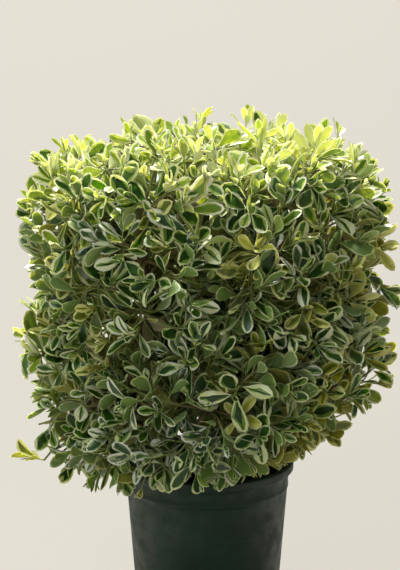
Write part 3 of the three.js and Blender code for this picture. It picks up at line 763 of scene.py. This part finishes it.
def leaf_kind(rng, layout, young, edge):
    """The corners of one kind of leaf of length 1, bent down its length and folded at its rib."""
    form = leaf_form(rng, young, edge)
    t = np.linspace(0, 1, 61)
    tilt = -form["bend"] * np.maximum(t - 0.1, 0)
    rib_x = np.concatenate([[0], np.cumsum(np.cos(tilt[1:]) / 60)])
    rib_z = np.concatenate([[0], np.cumsum(np.sin(tilt[1:]) / 60)])
    corners = []
    for border, row, side in leaf_corner_names(layout):
        along = layout["rows"][row]
        share = border_share(rng, form, border, side, along)
        slope = -form["bend"] * max(along - 0.1, 0)
        out = np.interp(along, LEAF_ROWS, form["half"]) * share
        lift = out * math.tan(form["fold"]) * (1 - 0.3 * share) + form["cup"] * out * share
        wave = form["wave"] * math.sin(along * 9 + form["phase"][side])
        lift += wave * share**2 * (0.1 < along < 0.95)
        if "under" in border:
            lift -= STALK_THICKNESS if along < 0.2 else LEAF_THICKNESS
        y = out * (1 if side else -1) + form["sway"] * math.sin(along * math.pi)
        cos, sin = math.cos(form["twist"] * along), math.sin(form["twist"] * along)
        y, lift = y * cos - lift * sin, y * sin + lift * cos
        point = np.array([np.interp(along, t, rib_x), y, np.interp(along, t, rib_z)])
        corners.append(point + lift * np.array([-math.sin(slope), 0, math.cos(slope)]))
    return corners


def leaf_faces(layout):
    """The faces of a leaf as lists of corner numbers, and which of its five colours each takes."""
    number = {name: k for k, name in enumerate(leaf_corner_names(layout))}
    stalk, last = layout["stalk"], len(layout["rows"]) - 2
    faces = []

    def add(colour, side, flip, *corners):
        numbers = [number[border, row, 0 if "rib" in border else side] for border, row in corners]
        faces.append((colour, numbers[::-1] if flip else numbers))

    for side in range(2):
        for rib, strips in (("rib", layout["upper"]), ("under_rib", layout["under"])):
            look = side, (side == 1) != (rib == "under_rib")
            stalk_colour = strips[0][2] if rib == "under_rib" else 1
            for k in range(stalk - 1):
                add(stalk_colour, *look, (rib, k), ("rim", k), ("rim", k + 1), (rib, k + 1))
            for inner, outer, colour in strips:
                start = [(rib, stalk - 1)] + [("rim", stalk - 1)] * (outer == "rim")
                add(colour, *look, *start, (outer, stalk), (inner, stalk))
            for k in range(stalk, last):
                for inner, outer, colour in strips:
                    add(colour, *look, (inner, k), (outer, k), (outer, k + 1), (inner, k + 1))
            for inner, outer, _ in strips:
                add(strips[-1][2], *look, (inner, last), (outer, last), ("rib", last + 1))
    for side in range(2):
        add(1, side, side == 1, ("rib", 0), ("under_rib", 0), ("rim", 0))
    return faces


def leaf_set(rng, layout):
    """Kinds of leaf with the same faces: their corners, their faces and which edges are rims."""
    kinds = [leaf_kind(rng, layout, True, edge) for edge in YOUNG_EDGES]
    kinds += [leaf_kind(rng, layout, False, edge) for edge in GROWN_EDGES]
    on_rim = np.array([border == "rim" for border, _, _ in leaf_corner_names(layout)])
    on_rim[-1] = True
    rims = np.outer(on_rim, on_rim)
    return {"corners": np.array(kinds), "faces": leaf_faces(layout), "rims": rims}


def linear(code):
    """A colour code as the linear red, green and blue that a shader takes."""
    parts = [int(code[k:k + 2], 16) / 255 for k in (0, 2, 4)]
    return [c / 12.92 if c <= 0.04045 else ((c + 0.055) / 1.055) ** 2.4 for c in parts] + [1]


def new_object(name, data):
    """An object with its data, put in the scene."""
    found = bpy.data.objects.new(name, data)
    bpy.context.collection.objects.link(found)
    return found


def new_material(name):
    """A material with its shader, and its node tree."""
    material = bpy.data.materials.new(name)
    material.use_nodes = True
    return material, material.node_tree


def plain_material(name, code, roughness):
    """A material of one colour."""
    material, tree = new_material(name)
    inputs = tree.nodes["Principled BSDF"].inputs
    inputs["Base Color"].default_value = linear(code)
    inputs["Roughness"].default_value = roughness
    return material


def plain_materials(kind, colours, roughness):
    return [plain_material(f"{kind}_{name}", code, roughness) for name, code in colours.items()]


def add_node(tree, kind, inputs, **settings):
    """A node with its settings, whose inputs are numbers, colours or other nodes' outputs."""
    node = tree.nodes.new(f"ShaderNode{kind}")
    for name, value in settings.items():
        setattr(node, name, value)
    for name, value in inputs.items():
        if isinstance(value, bpy.types.NodeSocket):
            tree.links.new(value, node.inputs[name])
        else:
            node.inputs[name].default_value = value
    return node


def noise_map(tree, scale, detail=4.0, stretch=(1, 1, 1)):
    """Noise over the object's own coordinates, stretched along some axes."""
    place = add_node(tree, "TexCoord", {}).outputs["Object"]
    mapped = add_node(tree, "Mapping", {"Vector": place, "Scale": stretch}).outputs["Vector"]
    inputs = {"Vector": mapped, "Scale": scale, "Detail": detail, "Roughness": 0.6}
    return add_node(tree, "TexNoise", inputs).outputs["Fac"]


def ramp(tree, value, low, high, to=(0, 1)):
    """A value stretched from one range to another."""
    inputs = {"Value": value, "From Min": low, "From Max": high, "To Min": to[0], "To Max": to[1]}
    return add_node(tree, "MapRange", inputs, interpolation_type="SMOOTHSTEP").outputs["Result"]


def mixed(tree, share, first, second):
    """Two colours mixed by a share."""
    node = add_node(tree, "Mix", {"Factor": share}, data_type="RGBA")
    for socket, colour in zip((node.inputs[6], node.inputs[7]), (first, second)):
        if isinstance(colour, str):
            socket.default_value = linear(colour)
        else:
            tree.links.new(colour, socket)
    return node.outputs[2]


def layered(tree, colour, layers):
    """A colour with others laid over it, each where its own noise is high."""
    for code, pattern, low, high, most in layers:
        colour = mixed(tree, ramp(tree, noise_map(tree, *pattern), low, high, (0, most)), colour, code)
    return colour


def finished(tree, colour, roughness, height, distance):
    """The colour, roughness and relief linked to the shader."""
    shader = tree.nodes["Principled BSDF"]
    bump = add_node(tree, "Bump", {"Height": height, "Distance": distance, "Strength": 0.8})
    tree.links.new(colour, shader.inputs["Base Color"])
    tree.links.new(roughness, shader.inputs["Roughness"])
    tree.links.new(bump.outputs["Normal"], shader.inputs["Normal"])


def pot_material():
    """Dark green moulded plastic with mottling, dust, fine scuffs and dried splashes at its foot."""
    material, tree = new_material("pot_plastic")
    colour = mixed(tree, ramp(tree, noise_map(tree, 9, 5), 0.35, 0.65), "0f2b19", "183825")
    place = add_node(tree, "TexCoord", {}).outputs["Object"]
    height = add_node(tree, "SeparateXYZ", {"Vector": place}).outputs["Z"]
    near_foot = ramp(tree, height, 0.075, 0.0, (0, 0.34))
    speckle = ramp(tree, noise_map(tree, 150, 6), 0.46, 0.62)
    splash = add_node(tree, "Math", {0: near_foot, 1: speckle}, operation="MULTIPLY").outputs[0]
    colour = mixed(tree, splash, colour, "7a705c")
    dust = ("4e6452", (22, 7), 0.5, 0.72, 0.11)
    scuffs = ("506854", (60, 3, (0.5, 0.5, 7)), 0.63, 0.7, 0.24)
    colour = layered(tree, colour, (dust, scuffs))
    roughness = ramp(tree, noise_map(tree, 35, 5), 0.3, 0.7, (0.42, 0.66))
    finished(tree, colour, roughness, noise_map(tree, 420, 4), 0.0004)
    return material


def soil_material():
    """Damp potting mix of bark fines and peat."""
    material, tree = new_material("potting_mix")
    crumbs = noise_map(tree, 170, 8)
    colour = mixed(tree, ramp(tree, crumbs, 0.4, 0.66), "19120d", "3a2a1e")
    colour = layered(tree, colour, [("6b5540", (420, 3), 0.62, 0.74, 0.6)])
    roughness = ramp(tree, crumbs, 0.3, 0.7, (0.98, 0.8))
    finished(tree, colour, roughness, noise_map(tree, 260, 8), 0.002)
    return material


def bark_material():
    """Grey-brown bark with pale patches, a reddish tint, a greenish bloom and darker cracks."""
    material, tree = new_material("bark")
    streaks = noise_map(tree, 120, 6, (1, 1, 0.22))
    colour = mixed(tree, ramp(tree, streaks, 0.36, 0.64), "4a3a2c", "857460")
    colour = layered(tree, colour, (
        ("9a8f7a", (26, 4), 0.52, 0.68, 0.55),
        ("76492f", (17, 3), 0.5, 0.7, 0.5),
        ("6d7450", (38, 5), 0.55, 0.75, 0.45),
        ("2b2019", (210, 3, (1, 1, 0.16)), 0.58, 0.66, 0.8),
    ))
    roughness = ramp(tree, streaks, 0.3, 0.7, (0.94, 0.74))
    finished(tree, colour, roughness, noise_map(tree, 240, 6, (1, 1, 0.2)), 0.0012)
    return material


def leaf_material(name, code, roughness):
    """A colour of a leaf, which lets some light through."""
    material = plain_material(name, code, roughness)
    inputs = material.node_tree.nodes["Principled BSDF"].inputs
    inputs["Subsurface Weight"].default_value = LEAF_GLOW
    inputs["Subsurface Radius"].default_value = GLOW_RADIUS
    inputs["Subsurface Scale"].default_value = GLOW_DEPTH
    return material


def leaf_materials():
    """The materials for each kind of spray in turn, in the order of a leaf's parts."""
    found = []
    for name, codes in SPRAYS.items():
        for part, code in zip(LEAF_PARTS, codes):
            roughness = UNDER_ROUGHNESS if "under" in part else LEAF_ROUGHNESS
            found.append(leaf_material(f"leaf_{name}_{part}", code, roughness))
    return found


def mesh_piece(name, replaced, corners, faces, materials, colours=None, sharp=None):
    """A piece from corners in millimetres and faces as lists of corner numbers."""
    mesh = bpy.data.meshes.new(name)
    mesh.from_pydata(np.asarray(corners, np.float32) * MM, [], faces)
    mesh.polygons.foreach_set("use_smooth", np.ones(len(faces), bool))
    if colours is not None:
        mesh.polygons.foreach_set("material_index", np.asarray(colours, np.int32))
    if sharp is not None:
        ends = np.zeros(len(mesh.edges) * 2, np.int32)
        mesh.edges.foreach_get("vertices", ends)
        marks = mesh.attributes.new("sharp_edge", "BOOLEAN", "EDGE")
        marks.data.foreach_set("value", sharp(ends.reshape(-1, 2)))
    for material in materials:
        mesh.materials.append(material)
    piece = new_object(name, mesh)
    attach(piece, "root")
    if replaced:
        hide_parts(*replaced)
    return piece


def lathe(profile, sides):
    """A closed body turned about the axis, from its lowest point on the axis to its highest."""
    radius, height = np.array(profile[1:-1], float).T
    turn = np.arange(sides) / sides * math.tau
    rings = around(turn[None], radius[:, None], height[:, None]).reshape(-1, 3)
    corners = np.vstack([rings, [[0, 0, profile[0][1]], [0, 0, profile[-1][1]]]])
    last = (len(radius) - 1) * sides
    faces = []
    for i in range(sides):
        j = (i + 1) % sides
        faces.append([len(rings), j, i])
        for k in range(0, last, sides):
            faces.append([k + i, k + j, k + sides + j, k + sides + i])
        faces.append([last + i, last + j, len(rings) + 1])
    return corners, faces


def arc(middle, radius, start, end, steps):
    """Points of a profile round a corner, from one angle in degrees to another."""
    angles = np.radians(np.linspace(start, end, steps))
    return [(middle[0] + radius * math.cos(a), middle[1] + radius * math.sin(a)) for a in angles]


def wall_radius(height):
    return POT_FOOT_RADIUS + (POT_SHOULDER_RADIUS - POT_FOOT_RADIUS) * height / POT_HEIGHT


def pot_profile():
    """The pot's section: a rounded foot, a stacking bead under the lip, and a rolled lip."""
    lip_foot = POT_HEIGHT - POT_LIP_DEPTH
    profile = [(0, 0), (60, 0), (POT_FOOT_RADIUS - 6, 0), (POT_FOOT_RADIUS - 3, 0)]
    profile += [(POT_FOOT_RADIUS - 1.2, 0.8), (wall_radius(3), 3)]
    profile += [(wall_radius(h), h) for h in (10, 22, 60, 110, 160, 205, 228, 233)]
    profile += [(wall_radius(h) + 1.1, h) for h in (234.5, 238.5)]
    profile += [(wall_radius(h), h) for h in (240, 258, lip_foot - 1.5)]
    profile += [(wall_radius(lip_foot) + 1, lip_foot - 0.2), (POT_LIP_RADIUS - 2.2, lip_foot + 0.4)]
    profile += arc((POT_LIP_RADIUS - 1.8, lip_foot + 2.4), 1.8, -75, 0, 4)
    profile += arc((POT_LIP_RADIUS - 4, POT_HEIGHT - 4), 4, 8, 90, 6)
    profile += arc((POT_LIP_RADIUS - 6.4, POT_HEIGHT - 2.6), 2.6, 98, 180, 5)
    profile += [(wall_radius(h) - POT_WALL, h) for h in (lip_foot + 6, lip_foot, 200, 120, 50, 12)]
    inside = wall_radius(POT_FLOOR) - POT_WALL
    profile += [(inside - 3, POT_FLOOR + 0.6), (inside - 8, POT_FLOOR)]
    return [*profile, (60, POT_FLOOR), (0, POT_FLOOR)]


def drain_cutters():
    """Rounded slots round the pot's foot, as corners and faces."""
    middle = DRAIN_HEIGHT / 2 + POT_FLOOR + 2
    outline = []
    for quarter, (y, z) in enumerate(((1, 1), (-1, 1), (-1, -1), (1, -1))):
        aside, above = y * (DRAIN_WIDTH / 2 - DRAIN_ROUND), z * (DRAIN_HEIGHT / 2 - DRAIN_ROUND)
        start = quarter * 90
        outline += arc((aside, middle + above), DRAIN_ROUND, start, start + 90, 5)
    corners = []
    for i in range(DRAIN_HOLES):
        turn = i / DRAIN_HOLES * math.tau + DRAIN_TURN
        cos, sin = math.cos(turn), math.sin(turn)
        for out in (POT_FOOT_RADIUS - 9, POT_FOOT_RADIUS + 8):
            corners += [(out * cos - y * sin, out * sin + y * cos, z) for y, z in outline]
    faces, _ = repeated(tube_faces(2, len(outline)), DRAIN_HOLES, 2 * len(outline))
    return corners, faces


def cut_drains(piece):
    """Cuts the drain slots out of the pot."""
    corners, faces = drain_cutters()
    slots = bpy.data.meshes.new("slots")
    slots.from_pydata(np.array(corners) * MM, [], faces)
    cutter = new_object("slots", slots)
    cut = piece.modifiers.new("drains", "BOOLEAN")
    cut.object = cutter
    cut.solver = "EXACT"
    bpy.context.view_layer.update()
    found = piece.evaluated_get(bpy.context.evaluated_depsgraph_get())
    holed = bpy.data.meshes.new_from_object(found)
    piece.modifiers.clear()
    piece.data = holed
    bpy.data.objects.remove(cutter)


def pot():
    """The pot, a little out of round towards its rim, with its drain slots."""
    corners, faces = lathe(pot_profile(), POT_SIDES)
    turn = np.arctan2(corners[:, 1], corners[:, 0])
    corners[:, :2] *= 1 + (0.0022 * np.cos(2 * turn + 0.6) * corners[:, 2] / POT_HEIGHT)[:, None]
    piece = mesh_piece("green_pot", ["pot"], corners, faces, [pot_material()])
    cut_drains(piece)
    piece.data.set_sharp_from_angle(angle=math.radians(38))


def soil_height(x, y):
    """The height of the mix's lumpy top, kept flat round the trunk."""
    lumps = sum(tall * noise.noise((x / size, y / size, seed)) for size, seed, tall in SOIL_LUMPS)
    from_axis = math.hypot(x, y)
    return SOIL_TOP - 1.2 + lumps * min(max((from_axis - 26) / 14, 0.15), 1)


def soil():
    """The potting mix, a plug with a crumbled top."""
    clear = POT_WALL + 0.6
    profile = [(0, 3.5), (60, 3.5)]
    profile += [(wall_radius(h) - clear, h) for h in (3.5, 60, 120, 180, 225, SOIL_TOP - 8)]
    edge = wall_radius(SOIL_TOP) - clear
    profile += [(r, SOIL_TOP) for r in (edge - 1.5, *np.arange(edge - 4, 3, -3.2))]
    corners, faces = lathe([*profile, (0, SOIL_TOP)], POT_SIDES)
    for corner in corners:
        if corner[2] == SOIL_TOP:
            corner[2] = soil_height(corner[0], corner[1])
    mesh_piece("potting_mix", ["soil"], corners, faces, [soil_material()])


def soil_chips():
    """Bark chips and grains of perlite lying on the mix."""
    rng = np.random.default_rng(CHIP_SEED)
    block = np.array([[x, y, z] for x in (-1, 1) for y in (-1, 1) for z in (-1, 1)], float)
    sides = [[0, 1, 3, 2], [4, 6, 7, 5], [0, 4, 5, 1], [2, 3, 7, 6], [0, 2, 6, 4], [1, 5, 7, 3]]
    corners, colours = [], []
    for k in range(CHIPS + GRAINS):
        grain = k >= CHIPS
        half = rng.uniform(*(GRAIN_SIZES if grain else CHIP_SIZES))
        shape = block * half * rng.uniform(0.55, 1.1, (8, 3))
        turn, tilt, roll = rng.uniform(0, math.tau), rng.normal(0, 0.22), rng.normal(0, 0.3)
        swing = np.array(Euler((roll, tilt, turn)).to_matrix())
        spot = around(rng.uniform(0, math.tau), math.sqrt(rng.uniform(36**2, 127**2)), 0)
        spot[2] = soil_height(spot[0], spot[1]) + half[2] * 0.7
        corners.append(shape @ swing.T + spot)
        colours += [len(CHIP_ODDS) if grain else rng.choice(len(CHIP_ODDS), p=CHIP_ODDS)] * 6
    looks = plain_materials("mix", CHIP_COLOURS, 0.9)
    faces, _ = repeated([(0, side) for side in sides], CHIPS + GRAINS, len(block))
    piece = mesh_piece("bark_chips", None, np.vstack(corners), faces, looks, colours)
    piece.data.shade_flat()


def knotty(line, radii, seed):
    """Radii with a low swelling at each old pair of leaves and an uneven taper."""
    rng = np.random.default_rng(seed)
    run = run_along(line)
    swell = 0.03 * np.sin(run / 23 + seed)
    at = rng.uniform(8, 20)
    while at < run[-1]:
        swell += rng.uniform(0.06, 0.16) * np.exp(-(((run - at) / KNOT_LENGTH) ** 2))
        at += rng.uniform(18, 34)
    return radii * (1 + swell)


def bark_piece(name, line, radii, sides, material, relief):
    """A trunk or limb along a line, its surface raised and cracked by noise."""
    corners = tubes(line[None], radii[None], sides)[0].reshape(len(line), sides, 3)
    for ring, middle, radius in zip(corners, line, radii):
        for corner in ring:
            ridge = noise.noise((corner[0] / 5, corner[1] / 5, corner[2] / 26))
            lump = noise.noise(corner / 14)
            share = 1 + (relief * abs(ridge) + 0.7 * relief * lump) / radius
            corner[:] = middle + (corner - middle) * share
    corners = corners.reshape(-1, 3)
    faces = [face for _, face in tube_faces(len(line), sides)]
    mesh_piece(f"bark_{name}", [name], corners, faces, [material])


def trunk(material):
    """The stool: a flared foot cut flat on the mix, a waist, and a rounded top under the fork."""
    line = trunk_line()
    top = line[-1][2]
    above, narrowing = np.array(TRUNK_DOME).T
    heights = np.concatenate([np.arange(TRUNK_FOOT, top, BARK_STEP), [top], top + above])
    spots = [np.interp(heights, line[:, 2], line[:, k]) for k in range(2)]
    radii = np.interp(heights, line[:, 2], np.array(TRUNK_FLARE) * TRUNK_WAIST_RADIUS)
    radii[-3:] *= narrowing
    radii *= 1 + 0.03 * np.sin(heights / 7)
    line = np.stack([*spots, heights], axis=-1)
    bark_piece("trunk", line, radii, TRUNK_SIDES, material, TRUNK_RELIEF)


def limb(plan, number, material):
    """One tapering limb with its knots, on the line that the source gives it."""
    length = np.linalg.norm(np.diff(plan["line"], axis=0), axis=1).sum()
    steps = int(length / BARK_STEP)
    line = smooth_line(plan["chosen"], steps)
    radii = knotty(line, np.linspace(*plan["radii"], steps + 1), number)
    bark_piece(plan["limb"], line, radii, LIMB_SIDES, material, LIMB_RELIEF)


def tubes(lines, radii, sides):
    """Many round twigs at once: the corners of every ring, from lines with as many points each."""
    count, steps, _ = lines.shape
    ahead = unit(np.gradient(lines, axis=1))
    side = np.where(np.abs(ahead[:, :1, 0:1]) > 0.8, [0.0, 1.0, 0.0], [1.0, 0.0, 0.0])[:, 0]
    turn = np.arange(sides) / sides * math.tau
    cos, sin = np.cos(turn)[None, :, None], np.sin(turn)[None, :, None]
    rings = []
    for k in range(steps):
        side = unit(side - ahead[:, k] * dot(side, ahead[:, k]))
        other = np.cross(ahead[:, k], side)
        ring = side[:, None] * cos + other[:, None] * sin
        rings.append(lines[:, None, k] + ring * radii[:, k][:, None, None])
    return np.stack(rings, axis=1).reshape(count, steps * sides, 3)


def tube_faces(steps, sides):
    """The faces of one tube with flat ends, and the stretch that each belongs to."""
    faces = []
    for k in range(steps - 1):
        for j in range(sides):
            a, b = k * sides + j, k * sides + (j + 1) % sides
            faces.append((k, [a, b, b + sides, a + sides]))
    faces.append((0, list(range(sides))[::-1]))
    faces.append((steps - 2, [(steps - 1) * sides + j for j in range(sides)]))
    return faces


def repeated(faces, copies, each, first=0):
    """The faces of one part for many copies of it with so many corners each, and their marks."""
    starts = range(first, first + copies * each, each)
    found = [[start + corner for corner in face] for start in starts for _, face in faces]
    return found, np.tile([mark for mark, _ in faces], (copies, 1))


def twig_piece(plan, stem, twigs, shoots, materials):
    """The stem, main twigs and shoots of one mass, joined, each shoot ending in a bud."""
    ahead = unit(shoots[:, -1] - shoots[:, -2])[:, None]
    bud = [shoots[:, -1:] + ahead * reach for reach, _ in BUD]
    shoot_radii = np.linspace(*SHOOT_RADII, shoots.shape[1])
    groups = (
        (smooth_line(stem, STEM_STEPS)[None],
         np.linspace(plan["radii"][1], STEM_END_RADIUS, STEM_STEPS + 1)),
        (twigs, np.linspace(*MAIN_TWIG_RADII, twigs.shape[1])),
        (np.concatenate([shoots, *bud], axis=1), np.append(shoot_radii, [r for _, r in BUD])),
    )
    names = list(TWIG_COLOURS)
    corners, faces, colours = [], [], []
    first = 0
    for (lines, radii), (sides, change, foot, end) in zip(groups, TWIG_LOOKS):
        rings = tubes(lines, np.tile(radii, (len(lines), 1)), sides)
        one = tube_faces(lines.shape[1], sides)
        found, stretches = repeated(one, len(lines), rings.shape[1], first)
        colour = np.where(stretches < change, names.index(foot), names.index(end))
        corners.append(rings.reshape(-1, 3))
        faces += found
        colours.append(colour.ravel())
        first += len(corners[-1])
    corners, colours = np.concatenate(corners), np.concatenate(colours)
    node = f"foliage_{plan['name']}"
    mesh_piece(f"twigs_{plan['name']}", [node], corners, faces, materials, colours)


def leaf_piece(name, plan, leaves, kinds, materials):
    """All the outer or inner leaves of one mass, joined."""
    shape = kinds["corners"][leaves["kind"]]
    ways = (leaves[way][:, None] for way in ("along", "across", "upper"))
    grown = sum(shape[..., k:k + 1] * way for k, way in enumerate(ways))
    corners = leaves["root"][:, None] + leaves["size"][:, None, None] * grown
    count, each, _ = corners.shape
    faces, parts = repeated(kinds["faces"], count, each)
    parts = parts + len(LEAF_PARTS) * leaves["spray"][:, None]
    used, colours = np.unique(parts, return_inverse=True)
    used = [materials[k] for k in used]

    def sharp(ends):
        return kinds["rims"][ends[:, 0] % each, ends[:, 1] % each]

    name, node = f"{name}_{plan['name']}", f"foliage_{plan['name']}"
    corners, colours = corners.reshape(-1, 3), colours.ravel()
    mesh_piece(name, [node], corners, faces, used, colours, sharp)


def spray_kinds(shoots, inner, pale, leaves, rng):
    """The colours of each leaf: pale and yellow high up and at a shoot's tip, partly for their age and
    partly as painted sunlight, and darker lower down and, as painted shade, inside the crown.
    """
    names = list(SPRAYS)
    count = len(shoots)
    # Height paints sunlight on the crown's top: the share of sun picks the pale young and fresh
    # colours, partly for their age
    # Inner shoots lose SHADE_INSIDE of that share and take darker colours, as painted shade
    sunny = np.interp(shoots[:, -1, 2], SUN_HEIGHTS, SUN_SHARES) - SHADE_INSIDE * inner
    sunny = sunny + rng.normal(0, SUN_SPREAD, count)
    # The pale shoot takes the young colours, as painted sunlight
    sunny[pale] = PALE_SUN
    young = names.index("young_sunlit_1") + rng.integers(0, 2, count)
    fresh = names.index("fresh_sunlit_1") + rng.integers(0, 3, count)
    outside, inside = (rng.choice(4, count, p=odds) for odds in GROWN_ODDS)
    grown = names.index("grown_1") + np.where(inner > 0, inside, outside)
    draw = rng.random(count)
    shoot = leaves["shoot"]
    sunny = sunny[shoot] - AGEING * np.maximum(leaves["pair"] - 1, 0)
    grown = np.where(sunny > FRESH_SUNLIT_FROM, fresh[shoot], grown[shoot])
    kinds = np.where(sunny > YOUNG_SUNLIT_FROM, young[shoot], grown)
    kinds = np.where(draw[shoot] < CREAM_SHARE, names.index("cream"), kinds)
    old = draw > np.where(inner > 0, NOT_OLD[1], NOT_OLD[0])
    return np.where(old[shoot], names.index("old"), kinds)


def mass_shoots(number, plans, mains, layers, rng):
    """The stem, main twigs and shoots of one mass, and 1 for each shoot that is inside."""
    plan = plans[number]
    points, outward, share = mains
    own = share == number
    stem, twigs = main_twigs(plan, number, plans, points[own], outward[own])
    shoots, inner = [], []
    for (points, outward, share), depths, inside in layers:
        own = share == number
        here = points[own], outward[own]
        shoots.append(finer_shoots(plan, plans, stem, twigs, *here, depths, rng))
        inner.append(np.full(len(shoots[-1]), inside))
    return stem, twigs, np.concatenate(shoots), np.concatenate(inner)


def mass_leaves(plan, plans, shoots, inner, rng, tints):
    """The leaves on one mass's shoots, each with its colours and its kind, where they fit."""
    leaves = shoot_leaves(shoots, inner, rng)
    # The shoot whose pale young colours are painted sunlight
    pale = np.linalg.norm(shoots[:, -1] - PALE_SHOOT, axis=1) < PALE_REACH
    leaves["spray"] = spray_kinds(shoots, inner, pale, leaves, tints)
    young = leaves["spray"] < list(SPRAYS).index("fresh_sunlit_1")
    first = np.where(young, 0, len(YOUNG_EDGES))
    kinds = np.where(young, len(YOUNG_EDGES), len(GROWN_EDGES))
    leaves["kind"] = first + (leaves["draw"] * kinds).astype(int)
    leaves["size"] = leaves["size"] * np.where(young, YOUNG_SIZE, 1)
    leaves["size"] = leaves["size"] * np.where(pale[leaves["shoot"]], PALE_SIZE, 1)
    return place_leaves(leaves, plan, plans)


def foliage(plans):
    """Twigs and leaves for every mass. Each mass has its own streams of random numbers."""
    shapes = np.random.default_rng(LEAF_SEED)
    kinds = {name: leaf_set(shapes, layout) for name, layout in LEAF_LAYOUTS.items()}
    mains = shared_points(MAIN_TWIGS, 1, plans)
    layers = [(shared_points(n, FINE_RAISE, plans), depths, i) for n, depths, i in SHOOT_LAYERS]
    twig_looks = plain_materials("twig", TWIG_COLOURS, TWIG_ROUGHNESS)
    leaf_looks = leaf_materials()
    for number, plan in enumerate(plans):
        rng, tints = (np.random.default_rng((seed, number)) for seed in (SHOOT_SEED, TINT_SEED))
        stem, twigs, shoots, inner = mass_shoots(number, plans, mains, layers, rng)
        leaves = mass_leaves(plan, plans, shoots, inner, rng, tints)
        twig_piece(plan, stem, twigs, shoots, twig_looks)
        for inside, (name, leaf_kinds) in enumerate(kinds.items()):
            chosen = inner[leaves["shoot"]] == inside
            some = {key: value[chosen] for key, value in leaves.items()}
            leaf_piece(name, plan, some, leaf_kinds, leaf_looks)


def camera():
    """The camera at the photograph's viewing angle, a little above the crown."""
    lens = bpy.data.cameras.new("camera")
    lens.sensor_fit = "HORIZONTAL"
    lens.sensor_width = 36
    lens.lens = 151.65
    eye = new_object("camera", lens)
    eye.location = (0, -2.8, 1.15)
    eye.rotation_euler = (math.radians(90 - 11.41), 0, math.radians(0.255))
    bpy.context.scene.camera = eye


def lamp(name, kind, place, **settings):
    """A light at a place, aimed at the crown."""
    light = bpy.data.lights.new(name, kind)
    for setting, value in settings.items():
        setattr(light, setting, value)
    holder = new_object(name, light)
    holder.location = place
    way = Vector((0, 0, 0.6)) - Vector(place)
    holder.rotation_euler = way.to_track_quat("-Z", "Y").to_euler()


def studio():
    """A soft key light from behind and above, a weak front light and a faint backdrop."""
    lamp("key", "SUN", (-0.5, 2.2, 4.5), energy=8, angle=math.radians(7), color=(1, 0.97, 0.88))
    lamp("front", "AREA", (-1.3, -2.2, 2.5), energy=27, size=1.1, color=FILL_COLOUR)
    world = bpy.data.worlds.new("studio")
    world.use_nodes = True
    backdrop = world.node_tree.nodes["Background"].inputs
    backdrop["Color"].default_value = (*FILL_COLOUR, 1)
    backdrop["Strength"].default_value = 0.13
    bpy.context.scene.world = world
    bpy.context.scene.view_settings.view_transform = "Standard"


def stage_floor():
    """A plain pale floor, which belongs to the studio and not to the part."""
    reach = 400
    corners = [(-reach, -reach, 0), (reach, -reach, 0), (reach, reach, 0), (-reach, reach, 0)]
    mesh = bpy.data.meshes.new("floor")
    mesh.from_pydata(corners, [], [(0, 1, 2, 3)])
    mesh.materials.append(plain_material("floor", "918f8d", 0.85))
    floor = new_object("floor", mesh)
    floor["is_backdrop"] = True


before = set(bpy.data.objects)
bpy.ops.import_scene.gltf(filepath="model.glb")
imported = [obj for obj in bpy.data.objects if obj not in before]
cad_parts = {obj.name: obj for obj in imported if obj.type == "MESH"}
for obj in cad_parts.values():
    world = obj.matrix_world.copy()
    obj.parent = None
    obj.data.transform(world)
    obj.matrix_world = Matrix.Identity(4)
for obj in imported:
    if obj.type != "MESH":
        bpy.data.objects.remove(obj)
cad_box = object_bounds()
pot()
soil()
soil_chips()
plans = mass_plans()
bark = bark_material()
trunk(bark)
for number, plan in enumerate(plans):
    limb(plan, number, bark)
foliage(plans)
camera()
studio()
stage_floor()
boxes = [[list(corner) for corner in box] for box in (cad_box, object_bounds())]
